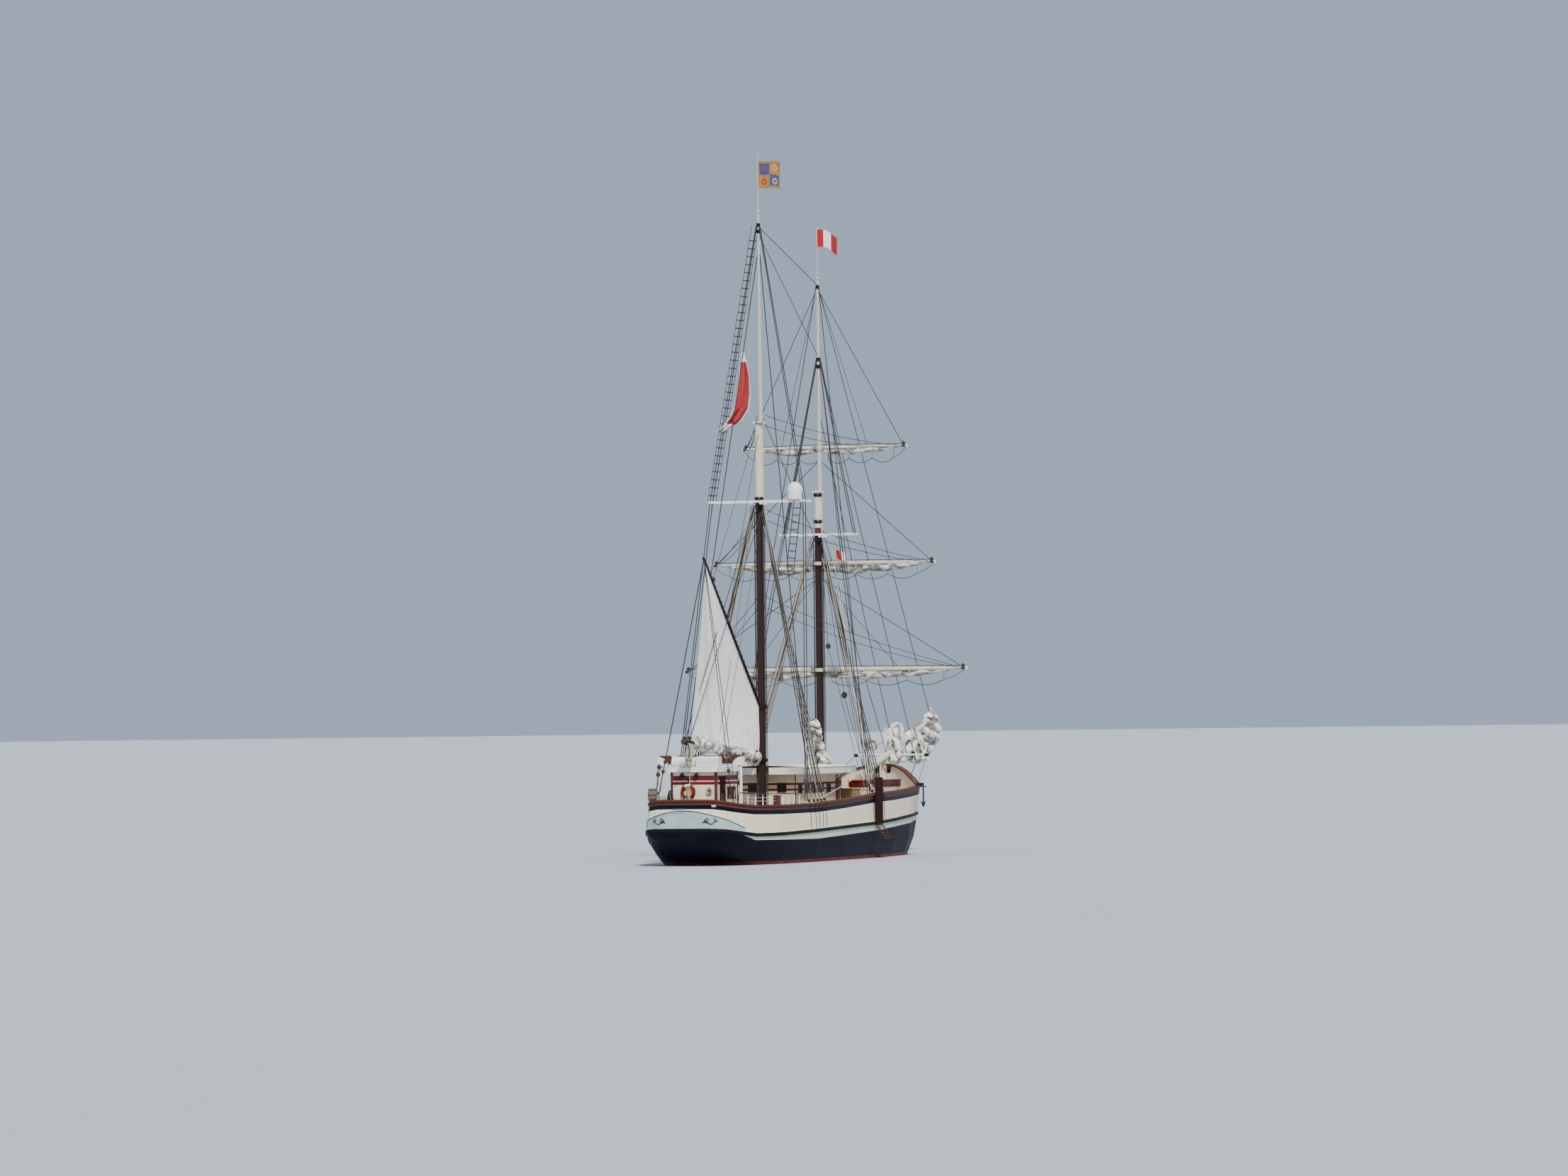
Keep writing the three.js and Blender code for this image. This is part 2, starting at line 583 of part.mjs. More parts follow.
// The ladder hangs from the board's lower end and leans outboard
function boardingLadder() {
  const top = GANGWAY.low - GAP;
  const y = -(GANGWAY.out + GANGWAY.thick / 2);
  const [aftEdge, foreEdge] = [GANGWAY.x - LADDER.halfWidth, GANGWAY.x + LADDER.halfWidth];
  const head = block(aftEdge - LADDER.stile, foreEdge + LADDER.stile,
    y - LADDER.head / 2, y + LADDER.head / 2, top - LADDER.head, top);
  const start = top - LADDER.head / 2;
  const stiles = [aftEdge, foreEdge].map((x) => rod([x, y, start], [x, y - LADDER.reach, LADDER.foot],
    LADDER.stile, LADDER.stile, 6));
  const pieces = [head, ...stiles];
  for (let tread = 1; tread <= LADDER.treads; tread += 1) {
    const share = tread / (LADDER.treads + 0.5);
    const [treadY, z] = [y - LADDER.reach * share, start + (LADDER.foot - start) * share];
    pieces.push(block(aftEdge, foreEdge, treadY - LADDER.tread, treadY + LADDER.tread,
      z - LADDER.treadHalfThick, z + LADDER.treadHalfThick));
  }
  return join(...pieces);
}

const ANCHOR = { x: 24300, y: 3330, inner: 2980, top: 3520, shank: 1150, arm: 330, stock: 420 };

function anchor(side) {
  const y = side * ANCHOR.y;
  const foot = ANCHOR.top - ANCHOR.shank;
  const inside = side * ANCHOR.inner;
  const claw = block(ANCHOR.x - 60, ANCHOR.x + 60, Math.min(inside, y), Math.max(inside, y),
    lineAt('cap', ANCHOR.x) - SEAT_DEPTH, ANCHOR.top + 20);
  return seatedOnRail(side, join(
    claw,
    rod([ANCHOR.x, y, foot], [ANCHOR.x, y, ANCHOR.top], 45, 35),
    rod([ANCHOR.x - ANCHOR.stock, y, ANCHOR.top - 160], [ANCHOR.x + ANCHOR.stock, y, ANCHOR.top - 160], 28),
    rod([ANCHOR.x, y, foot + 10], [ANCHOR.x - ANCHOR.arm, y, foot + 260], 45, 25),
    rod([ANCHOR.x, y, foot + 10], [ANCHOR.x + ANCHOR.arm, y, foot + 260], 45, 25),
  ));
}

// Masts

const JAW = { halfHeight: 70, thick: 100, clearance: 3 };
const TOPMAST_OFFSET = 330; // the topmast stands this far forward of the lower masthead
const MAST_SIDES = 12;
// The masts' radii at a height
function lowerRadius(mast, z) {
  const foot = lineAt('deck', mast.x + mast.radius);
  return mast.radius + ((mast.headRadius - mast.radius) * (z - foot)) / (mast.cap - foot);
}

function topmastRadius(mast, z) {
  return mast.topRadius + ((mast.truckRadius - mast.topRadius) * (z - mast.hounds))
    / (mast.truck - mast.hounds);
}

const YARD_AHEAD = 750; // yards stand this far forward of their mast's axis
// [name, sail, height, length, radius, mast's x, mast's radius there, sail's depth]
const YARDS = [
  ['course_yard', 'course_sail', 9150, 14700, 135, FOREMAST.x, lowerRadius(FOREMAST, 9070), 420],
  ['topsail_yard', 'topsail_sail', 14350, 11600, 115, FOREMAST.x, lowerRadius(FOREMAST, 14270), 400],
  ['topgallant_yard', 'topgallant_sail', 20050, 8600, 95, FOREMAST.x + TOPMAST_OFFSET,
    topmastRadius(FOREMAST, 19970), 330],
].map(([name, sail, z, length, radius, mastX, mastRadius, depth]) => (
  { name, sail, z, length, radius, mastX, mastRadius, depth }));
const YARD_END = 0.55; // share of the radius left at a yardarm
const PARREL = { height: 160, thick: 45 };

// Bands that carry the jaws and parrels, as [underside, height, how far it stands proud]
const BAND_HEIGHT = 90;
const restBand = (underside, proud) => [underside - BAND_HEIGHT, BAND_HEIGHT - GAP, proud];
const MAST_BANDS = new Map([
  [MAIN_MAST, [restBand(BOOM.inner - JAW.halfHeight, 22), restBand(GAFF.throat - JAW.halfHeight, 60)]],
  [FOREMAST, YARDS.slice(0, 2).map((spec) => restBand(spec.z - PARREL.height / 2, 50))],
]);

// A tapered mast with its bands, which stand proud of it
function lowerMast(mast, grown = 0) {
  const bands = MAST_BANDS.get(mast);
  const foot = lineAt('deck', mast.x + mast.radius) + GAP;
  const taper = (mast.headRadius - mast.radius) / (mast.cap - foot);
  const radiusAt = (z) => mast.radius + grown + taper * (z - foot);
  const profile = [[0, foot], [radiusAt(foot), foot]];
  for (const [z, height, proud] of bands) {
    profile.push([radiusAt(z), z], [radiusAt(z) + proud, z], [radiusAt(z) + proud, z + height],
      [radiusAt(z), z + height]);
  }
  profile.push([radiusAt(mast.cap), mast.cap], [0, mast.cap]);
  return turned(profile, mast.x, 0, MAST_SIDES);
}

// The iron cap on a lower masthead holds the topmast
const CAP_PLATE = { half: 210, thick: 110, clearance: 3 };

function lowerMastWithCap(mast) {
  const x = mast.x + TOPMAST_OFFSET;
  const plate = block(mast.x - CAP_PLATE.half, x + CAP_PLATE.half, -CAP_PLATE.half, CAP_PLATE.half,
    mast.cap - 5, mast.cap + CAP_PLATE.thick);
  const hole = topmastRadius(mast, mast.cap) + CAP_PLATE.clearance;
  return cut(join(lowerMast(mast), plate), rod([x, 0, mast.cap - 200], [x, 0, mast.cap + 300], hole, hole,
    MAST_SIDES));
}

function topmastPole(mast, grown = 0) {
  const x = mast.x + TOPMAST_OFFSET;
  return rod([x, 0, mast.hounds + TREES.above], [x, 0, mast.truck], mast.topRadius + grown,
    mast.truckRadius + grown,
    MAST_SIDES);
}

// Rigging reaches to a mast's axis, and is cut back to the mast's surface
function clearOfMast(geometry, mast) {
  return cut(geometry, lowerMast(mast, GAP), topmastPole(mast, GAP));
}

function topmast(mast, band = null) {
  const x = mast.x + TOPMAST_OFFSET;
  const pole = topmastPole(mast);
  const truck = turned([[0, mast.truck - 10], [100, mast.truck - 10], [100, mast.truck + 60],
    [0, mast.truck + 90]], x, 0, 10);
  const staff = rod([x, 0, mast.truck], [x, 0, mast.staff], 26, 18, 8);
  if (band === null) return join(pole, truck, staff);
  const [low, height, proud] = band;
  const edge = topmastRadius(mast, low) + proud;
  return join(pole, truck, staff, turned([[0, low], [edge, low], [edge, low + height], [0, low + height]],
    x, 0, MAST_SIDES));
}

const TREES = { aft: 450, fore: 260, cheek: 90, aftBar: -330, foreBar: 530, barHalf: 50, above: 60 };

// Two cheeks beside the masthead carry two bars across the ship and the fid under the topmast's heel
function crosstrees(mast) {
  const { hounds, spreader } = mast;
  const half = mast.headRadius + 20;
  const top = hounds + TREES.above - GAP;
  const cheeks = [1, -1].map((side) => block(mast.x - TREES.aft, mast.x + TOPMAST_OFFSET + TREES.fore,
    Math.min(side * half, side * (half + TREES.cheek)), Math.max(side * half, side * (half + TREES.cheek)),
    hounds - 130, hounds + 10));
  const bars = [TREES.aftBar, TREES.foreBar].map((x) => block(mast.x + x - TREES.barHalf,
    mast.x + x + TREES.barHalf,
    -spreader / 2, spreader / 2, hounds - 40, top));
  const fid = block(mast.x + 200, mast.x + TOPMAST_OFFSET + 120, -half - 20, half + 20, hounds - 80, top);
  return join(...cheeks, ...bars, fid);
}

const RADOME = { y: -1950, radius: 365, straight: 480, height: 850 };

// A cylinder with a domed top, standing on the crosstrees' aft bar
function radome() {
  const { radius, straight, height } = RADOME;
  const base = MAIN_MAST.hounds + TREES.above;
  const profile = [[0, base], [radius - 20, base], [radius, base + 60], [radius, base + straight]];
  for (let step = 1; step < 5; step += 1) {
    const angle = (step / 5) * (Math.PI / 2);
    profile.push([radius * Math.cos(angle), base + straight + (height - straight) * Math.sin(angle)]);
  }
  profile.push([0, base + height]);
  return turned(profile, MAIN_MAST.x + TREES.aftBar, RADOME.y, 16);
}

// Yards and their furled sails

function yardArms(spec, grown = 0) {
  const x = spec.mastX + YARD_AHEAD;
  return [1, -1].map((side) => rod([x, -side * 20, spec.z], [x, (side * spec.length) / 2, spec.z],
    spec.radius + grown,
    spec.radius * YARD_END + grown, 10));
}

function yard(spec) {
  const hole = spec.mastRadius / Math.cos(Math.PI / MAST_SIDES) + 3;
  const low = spec.z - PARREL.height / 2;
  const high = spec.z + PARREL.height / 2;
  const ring = turned([[hole, low], [hole + PARREL.thick, low], [hole + PARREL.thick, high], [hole, high],
    [hole, low]],
    spec.mastX, 0, MAST_SIDES);
  const truss = block(spec.mastX + hole + 5, spec.mastX + YARD_AHEAD, -60, 60, spec.z - 60, spec.z + 60);
  return join(...yardArms(spec), ring, truss);
}

const SAIL_OVERLAP = 25; // canvas reaches this far round a spar before it is cut back to it
// A roll of canvas under its yard, as [share of the half length, share of the depth]
const ROLL = [[-0.86, 0.3], [-0.6, 0.75], [-0.3, 0.95], [-0.1, 0.8], [0.1, 0.8], [0.3, 0.95], [0.6, 0.75],
  [0.86, 0.3]];

function furledSail(spec) {
  const half = spec.length / 2;
  const roll = loft(ROLL.map(([along, share]) => {
    const y = along * half;
    const under = spec.z - spec.radius * (1 - (1 - YARD_END) * Math.abs(along)) + SAIL_OVERLAP;
    const depth = spec.depth * share;
    const width = 0.5 * spec.depth * (0.45 + 0.3 * share);
    const ring = [];
    for (let side = 0; side < 8; side += 1) {
      const angle = ((side + 0.5) / 8) * 2 * Math.PI;
      ring.push([aft(spec.mastX + YARD_AHEAD + 30 + width * Math.cos(angle)), y,
        under - depth / 2 + (depth / 2) * Math.sin(angle)]);
    }
    return ring;
  }));
  return cut(roll, ...yardArms(spec, GAP));
}

// Boom, gaff and mainsail

function jaws(z, radius) {
  const hole = radius / Math.cos(Math.PI / MAST_SIDES) + JAW.clearance;
  const [low, high] = [z - JAW.halfHeight, z + JAW.halfHeight];
  return turned([[hole, low], [hole + JAW.thick, low], [hole + JAW.thick, high], [hole, high], [hole, low]],
    MAIN_MAST.x, 0, MAST_SIDES);
}

function boomHeight(x) {
  return BOOM.inner + ((BOOM.outer - BOOM.inner) * (MAIN_MAST.x - x)) / (MAIN_MAST.x - BOOM.outerX);
}

const GAFF_START = MAIN_MAST.x - MAIN_MAST.radius - 105;

function gaffHeight(x) {
  return GAFF.throat + ((GAFF.peak - GAFF.throat) * (GAFF_START - x)) / (GAFF_START - GAFF.peakX);
}

function boomSpar(grown = 0) {
  const start = MAIN_MAST.x - MAIN_MAST.radius - 30;
  return rod([start, 0, boomHeight(start)], [BOOM.outerX, 0, BOOM.outer], BOOM.radius + grown,
    BOOM.endRadius + grown, 12);
}

function boom() {
  const knob = new THREE.IcosahedronGeometry(135, 1).translate(aft(BOOM.outerX), 0, BOOM.outer);
  return join(boomSpar(), jaws(BOOM.inner, MAIN_MAST.radius), knob);
}

function gaffSpar(grown = 0) {
  return rod([GAFF_START, 0, GAFF.throat], [GAFF.peakX, 0, GAFF.peak], GAFF.radius + grown,
    GAFF.radius * 0.65 + grown, 10);
}

function gaff() {
  return join(gaffSpar(), jaws(GAFF.throat, MAIN_MAST.radius));
}

const SAIL = { thick: 16, luff: 420, overBoom: 40 };

function mainsail() {
  const luff = MAIN_MAST.x - SAIL.luff;
  const leechFoot = BOOM.outerX + 950;
  const head = GAFF.peakX + 330;
  const footHeight = (x) => boomHeight(x) + BOOM.radius + SAIL.overBoom;
  const outline = [[luff, footHeight(luff)], [luff, gaffHeight(luff)], [head, gaffHeight(head)],
    [leechFoot, footHeight(leechFoot)]];
  const canvas = sidePlate(outline, -SAIL.thick / 2, SAIL.thick / 2);
  return cut(canvas, gaffSpar(GAP), reefedSail().translate(0, 0, GAP));
}

// The reefed foot lies bunched along the boom and hangs over its starboard side.
// [distance aft of the mast, half breadth, height over the boom's axis, drop below it to starboard]
const BUNCH = [
  [500, 170, 190, 60],
  [1300, 330, 300, 250],
  [2700, 350, 290, 300],
  [4200, 330, 280, 230],
  [5600, 340, 290, 260],
  [7200, 310, 280, 200],
  [8600, 270, 260, 150],
  [9400, 120, 200, 40],
];

function reefedSail() {
  const bunch = loft(BUNCH.map(([back, half, above, drop]) => {
    const x = MAIN_MAST.x - back;
    return [[half, 0], [half, above * 0.6], [half * 0.35, above], [-half * 0.35, above],
      [-half, above * 0.55],
      [-half, -drop * 0.6], [-half * 0.7, -drop], [-half * 0.1, -drop * 0.2]]
      .map(([y, z]) => [aft(x), y, boomHeight(x) + z]);
  }));
  return cut(bunch, boomSpar(GAP));
}

// Bowsprit

function bowsprit(grown = 0) {
  return rod([BOWSPRIT.heel, 0, bowspritAxis(BOWSPRIT.heel)], [BOWSPRIT.tip, 0, bowspritAxis(BOWSPRIT.tip)],
    BOWSPRIT.radius + grown, BOWSPRIT.tipRadius + grown, 12);
}

const SPREADER = { x: 29100, halfLength: 1950, radius: 50 };

function spreaderBar(grown = 0) {
  const z = bowspritUnder(SPREADER.x) - SPREADER.radius + SEAT_DEPTH;
  return rod([SPREADER.x, -SPREADER.halfLength, z], [SPREADER.x, SPREADER.halfLength, z],
    SPREADER.radius + grown);
}

// Standing rigging

const WIRE = 17; // a shroud's radius
const DEADEYE = { half: 70, height: 150, above: 420 };

// One side's shrouds and backstay, set up on the cap rail, as distances of their feet aft of the mast
function shrouds(mast, side, feet, backstayFoot, backstayTop) {
  const headY = side * (mast.headRadius + 40);
  const head = [mast.x - 60, headY, mast.hounds - 170];
  const footOf = (back) => {
    const x = mast.x - back;
    return [x, side * (lineAt('capHalf', x) - 40), lineAt('cap', x)];
  };
  const pieces = [block(mast.x - 110, mast.x + 10, headY - 60, headY + 60,
    mast.hounds - 260, mast.hounds - 140)];
  const wires = [...feet.map((back) => [footOf(back), head]),
    [footOf(backstayFoot), [mast.x + TOPMAST_OFFSET, side * mast.truckRadius, backstayTop]]];
  const poleAt = ([foot, top]) => {
    const share = (DEADEYE.above + DEADEYE.height / 2) / (top[2] - foot[2]);
    return foot.map((value, axis) => value + (top[axis] - value) * share);
  };
  for (const wire of wires) {
    const [foot, top] = wire;
    const [x, y, z] = poleAt(wire);
    const { half, height } = DEADEYE;
    pieces.push(rod(foot.map((value, axis) => value + (axis === 2 ? 60 : 0)), top, WIRE, WIRE, 6));
    pieces.push(block(foot[0] - half, foot[0] + half, foot[1] - 45, foot[1] + 45, foot[2] - SEAT_DEPTH,
      foot[2] + height));
    pieces.push(block(x - half, x + half, y - 40, y + 40, z - height / 2, z + height / 2));
  }
  for (let i = 0; i + 1 < wires.length; i += 1) {
    pieces.push(rod(poleAt(wires[i]), poleAt(wires[i + 1]), WIRE, WIRE, 6));
  }
  return clearOfMast(seatedOnRail(side, join(...pieces)), mast);
}

const COLLAR = { half: 40, halfWidth: 36 };

// A wire in the centre plane from one mast's fore side down to a place ahead of it, as [mast's x, mast's
// radius there,
// height, foot's x, foot's height, whether it stands on the bowsprit, whether a collar holds it to the mast].
// Off the bowsprit it ends at the next mast's aft side.
function stayEnds([mastX, radius, z, footX, footZ, onBowsprit, collared = false]) {
  const run = new THREE.Vector2(footX - mastX, footZ - z).normalize();
  const headX = mastX + radius + GAP + (collared ? COLLAR.half : WIRE * Math.abs(run.y));
  const [endX, endZ] = onBowsprit
    ? [footX, footZ + GAP + WIRE * (run.x - BOWSPRIT.slope * Math.abs(run.y))]
    : [footX - GAP - WIRE * Math.abs(run.y), footZ];
  return [[headX, 0, z], [endX, 0, endZ]];
}

function stay(wire) {
  return rod(...stayEnds(wire), WIRE, WIRE, 6);
}

// The room that a stay's lower end takes in the canvas furled round it
function stayRoom(wire, length = 5000, beyond = 100) {
  const [head, end] = stayEnds(wire).map((point) => new THREE.Vector3(...point));
  const run = end.clone().sub(head).normalize();
  return rod(end.clone().addScaledVector(run, -length).toArray(),
    end.clone().addScaledVector(run, beyond).toArray(),
    WIRE + GAP, WIRE + GAP, 6);
}

function fromForeTopmast(z, footX, collared = true) {
  return [FOREMAST.x + TOPMAST_OFFSET, topmastRadius(FOREMAST, z), z, footX, bowspritTop(footX), true,
    collared];
}

function fromMainTopmast(z, footX, footRadius, footZ) {
  return [MAIN_MAST.x + TOPMAST_OFFSET, topmastRadius(MAIN_MAST, z), z, footX - footRadius, footZ, false,
    true];
}

const FORESTAY = fromForeTopmast(16250, 28330, false);
const FORE_TOPMAST_STAYS = [fromForeTopmast(27900, 35250), fromForeTopmast(24450, 32000),
  fromForeTopmast(21600, 29400)];
const MAIN_STAY = [
  MAIN_MAST.x, lowerRadius(MAIN_MAST, 16500), 16500, FOREMAST.x - lowerRadius(FOREMAST, 4700), 4700, false];
const MAIN_TOPMAST_STAYS = [
  fromMainTopmast(30300, FOREMAST.x + TOPMAST_OFFSET, topmastRadius(FOREMAST, 28000), 28000),
  fromMainTopmast(29900, FOREMAST.x + TOPMAST_OFFSET, topmastRadius(FOREMAST, 24550), 24550),
  fromMainTopmast(21300, FOREMAST.x, lowerRadius(FOREMAST, 15400), 15400),
];

// Stays from one topmast, with their collars and the wire that runs from the highest collar down to the
// lowest
function staySet(wires) {
  const collars = wires.map(([mastX, radius, z]) => block(mastX + radius + 2 * GAP,
    mastX + radius + 2 * COLLAR.half,
    -COLLAR.halfWidth, COLLAR.halfWidth, z - COLLAR.half, z + COLLAR.half));
  const [top, low] = [wires[0], wires.at(-1)].map((wire) => stayEnds(wire)[0]);
  return join(...collars, ...wires.map(stay), rod(top, low, WIRE, WIRE, 6));
}

// Furled sails

// A bundle of canvas through eight-sided rings, as [x, y, middle height, half breadth, half height]
function bundle(rows) {
  return loft(rows.map(([x, y, z, halfBreadth, halfHeight]) => Array.from({ length: 8 }, (_, side) => {
    const angle = ((side + 0.5) / 8) * 2 * Math.PI;
    return [aft(x), y + halfBreadth * Math.cos(angle), z + halfHeight * Math.sin(angle)];
  })));
}

// Headsails furled in three bunches round the bowsprit, each at the foot of its stay
const HEADSAILS = [
  [28450, -40, 5180, 130, 200],
  [28900, -60, 5410, 330, 690],
  [29500, -80, 5520, 400, 900],
  [30200, -80, 5450, 330, 690],
  [30550, -30, 5660, 150, 190],
  [31150, -30, 5820, 150, 190],
  [31500, -80, 5570, 330, 720],
  [32300, -120, 5490, 420, 960],
  [33200, -120, 5700, 380, 900],
  [33550, -60, 6400, 170, 210],
  [33850, -100, 6300, 300, 550],
  [34500, -220, 6390, 480, 760],
  [35050, -160, 6500, 330, 600],
  [35300, -40, 6770, 110, 160],
];

function headsails() {
  return cut(bundle(HEADSAILS), bowsprit(GAP), spreaderBar(GAP),
    ...FORE_TOPMAST_STAYS.map((wire) => stayRoom(wire)));
}

// The main staysail hangs furled round the main stay's foot, aft of the foremast
const STAYSAIL = [
  [17500, 0, 6750, 60, 60],
  [17760, -20, 6350, 200, 200],
  [17960, -90, 5800, 250, 240],
  [18060, -160, 5250, 230, 230],
  [18080, -330, 4800, 250, 220],
  [18050, -700, 4520, 160, 150],
];

function staysail() {
  const roll = loft(STAYSAIL.map(([x, y, z, half, thick], i) => {
    const [before, after] = [STAYSAIL[Math.max(0, i - 1)], STAYSAIL[Math.min(STAYSAIL.length - 1, i + 1)]];
    const run = new THREE.Vector3(after[0] - before[0], after[1] - before[1],
      after[2] - before[2]).normalize();
    const across = new THREE.Vector3(1, 0, 0).addScaledVector(run, -run.x).normalize();
    const beside = new THREE.Vector3().crossVectors(run, across);
    return Array.from({ length: 8 }, (_, side) => {
      const angle = ((side + 0.5) / 8) * 2 * Math.PI;
      const point = across.clone().multiplyScalar(thick * Math.cos(angle)).addScaledVector(beside,
        half * Math.sin(angle));
      return [aft(x) + point.x, y + point.y, z + point.z];
    });
  }));
  return cut(roll, stayRoom(MAIN_STAY));
}

// The whole ship

add('hull', hull(), PAINT.navy);
add('keel', keel(), PAINT.antifouling);
add('stem', stem(), PAINT.navy);
add('rudder', rudder(), PAINT.antifouling);
add('propeller', propeller(), PAINT.bronze);
for (const [name, side] of [['port', 1], ['starboard', -1]]) {
  add(`bulwark_${name}`, bulwark(side), PAINT.cream);
  add(`cap_rail_${name}`, capRail(side), PAINT.brown);
  add(`liferaft_${name}`, liferaft(side), PAINT.white);
  add(`mooring_bitts_${name}`, mooringBitts(side), PAINT.iron);
  add(`anchor_${name}`, anchor(side), PAINT.iron);
  add(`main_shrouds_${name}`, shrouds(MAIN_MAST, side, [700, 1150, 1600, 2050], 2600, 29000), PAINT.rope);
  add(`fore_shrouds_${name}`, shrouds(FOREMAST, side, [750, 1150, 1550], 2400, 24300), PAINT.rope);
}
aftHouse();
midHouse();
hatch();
add('deck_locker', sidePlate(deckOutline(LOCKER, 0, LOCKER.top), -LOCKER.halfWidth, LOCKER.halfWidth),
  PAINT.cream);
add('gallows', gallows(), PAINT.brown);
helm();
windlass();
add('gangway_board', gangwayBoard(), PAINT.darkBrown);
add('boarding_ladder', boardingLadder(), PAINT.brown);
add('main_lower_mast', lowerMastWithCap(MAIN_MAST), PAINT.darkBrown);
add('main_topmast', topmast(MAIN_MAST), PAINT.grey);
add('main_crosstrees', crosstrees(MAIN_MAST), PAINT.white);
add('radome', radome(), PAINT.white);
add('fore_lower_mast', lowerMastWithCap(FOREMAST), PAINT.darkBrown);
add('fore_topmast', topmast(FOREMAST, restBand(YARDS[2].z - PARREL.height / 2, 40)), PAINT.grey);
add('fore_crosstrees', crosstrees(FOREMAST), PAINT.white);
for (const spec of YARDS) {
  add(spec.name, yard(spec), PAINT.spar);
  add(spec.sail, furledSail(spec), PAINT.canvas);
}
add('boom', boom(), PAINT.darkBrown);
add('gaff', gaff(), PAINT.darkBrown);
add('mainsail', mainsail(), PAINT.canvas);
add('reefed_sail', reefedSail(), PAINT.canvas);
add('bowsprit', bowsprit(), PAINT.darkBrown);
add('bowsprit_spreader', cut(spreaderBar(), bowsprit(GAP)), PAINT.white);
add('furled_headsails', headsails(), PAINT.canvas);
add('furled_staysail', staysail(), PAINT.canvas);
add('forestay', stay(FORESTAY), PAINT.rope);
add('fore_topmast_stay', staySet(FORE_TOPMAST_STAYS), PAINT.rope);
add('main_stay', stay(MAIN_STAY), PAINT.rope);
add('main_topmast_stays', staySet(MAIN_TOPMAST_STAYS), PAINT.rope);

export default ship;
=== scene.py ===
from math import copysign, cos, floor, pi, radians, sin, sqrt

import bpy
from mathutils import Matrix, Vector, noise


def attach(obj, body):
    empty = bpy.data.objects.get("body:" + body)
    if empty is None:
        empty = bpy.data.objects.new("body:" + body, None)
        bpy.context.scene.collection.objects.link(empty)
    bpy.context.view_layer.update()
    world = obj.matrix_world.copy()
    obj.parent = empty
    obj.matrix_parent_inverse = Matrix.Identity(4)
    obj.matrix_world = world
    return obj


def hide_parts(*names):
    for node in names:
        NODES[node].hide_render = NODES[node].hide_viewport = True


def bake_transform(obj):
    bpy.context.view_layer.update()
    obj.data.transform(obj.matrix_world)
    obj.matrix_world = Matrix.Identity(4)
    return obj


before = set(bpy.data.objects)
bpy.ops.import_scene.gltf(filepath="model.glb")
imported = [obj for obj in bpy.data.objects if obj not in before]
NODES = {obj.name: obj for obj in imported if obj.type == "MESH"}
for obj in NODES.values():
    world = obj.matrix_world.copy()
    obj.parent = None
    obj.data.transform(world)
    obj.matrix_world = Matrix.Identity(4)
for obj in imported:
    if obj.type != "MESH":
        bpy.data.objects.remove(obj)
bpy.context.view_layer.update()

SIDES = {"port": 1, "starboard": -1}
BOTH = (1, -1)
UP = (0, 0, 1)
TURN = 2 * pi
NODE_EDGE, PIECE_EDGE = radians(35), radians(42)

# Places that repeat the frame's own sizes
TRANSOM = -14.0
MAIN_X, MAIN_TOP_X = -3.56, -3.23
FORE_X, FORE_TOP_X = 4.65, 4.98
# [x from the transom, cap rail's top, wale, half-breadth at cap rail, half-breadth at wale]
STATIONS = [
    (0, 3.1, 1.68, 0.9, 0.98), (0.13, 3.09, 1.67, 1.38, 1.48), (0.4, 3.02, 1.64, 1.82, 1.96),
    (1.0, 2.93, 1.56, 2.12, 2.27), (1.6, 2.87, 1.49, 2.34, 2.48), (2.4, 2.81, 1.42, 2.56, 2.68),
    (3.5, 2.79, 1.415, 2.83, 2.92), (5.0, 2.78, 1.425, 3.11, 3.18), (8.6, 2.8, 1.51, 3.43, 3.48),
    (12.1, 2.93, 1.6, 3.54, 3.57), (16.5, 3.13, 1.7, 3.54, 3.57), (19.6, 3.21, 1.82, 3.49, 3.49),
    (22.5, 3.32, 1.96, 3.33, 3.28), (24.6, 3.42, 2.05, 3.06, 2.9), (25.9, 3.73, 2.11, 2.36, 2.13),
    (26.8, 4.15, 2.15, 1.6, 1.4), (27.4, 4.35, 2.17, 1.05, 0.88), (27.8, 4.45, 2.185, 0.56, 0.44),
    (27.95, 4.48, 2.19, 0.19, 0.19),
]
CAP, WALE, CAP_HALF, WALE_HALF = 1, 2, 3, 4


def between(table, x, column=1):
    """A column's value at x, on straight lines between the table's rows."""
    if x <= table[0][0]:
        return table[0][column]
    for a, b in zip(table, table[1:]):
        if x <= b[0]:
            return a[column] + (b[column] - a[column]) * (x - a[0]) / (b[0] - a[0])
    return table[-1][column]


def hull_at(column, x):
    """A value of the hull's table at x."""
    return between(STATIONS, x - TRANSOM, column)


def side_half(x, z):
    """The half-breadth of the topside at x and z."""
    wale, low = hull_at(WALE, x), hull_at(WALE_HALF, x)
    return low + (hull_at(CAP_HALF, x) - low) * (z - wale) / (hull_at(CAP, x) - wale)


def rail_at(x, side, inboard=0.0, up=0.0):
    """A place by the cap rail's top, so far in from its half-breadth and so far up."""
    return Vector((x, side * (hull_at(CAP_HALF, x) - inboard), hull_at(CAP, x) + up))


# The camera, at the photograph's angle from low off the starboard quarter
IMAGE_WIDTH, SENSOR_WIDTH, FOCAL_PIXELS = 2212, 36.0, 9455
CAMERA_PLACE, CAMERA_HEADING = (-303.3, -111.5, 6.85), (0.9385, 0.3453)
CAMERA_PITCH, CAMERA_ROLL = radians(1.106), radians(0.673)


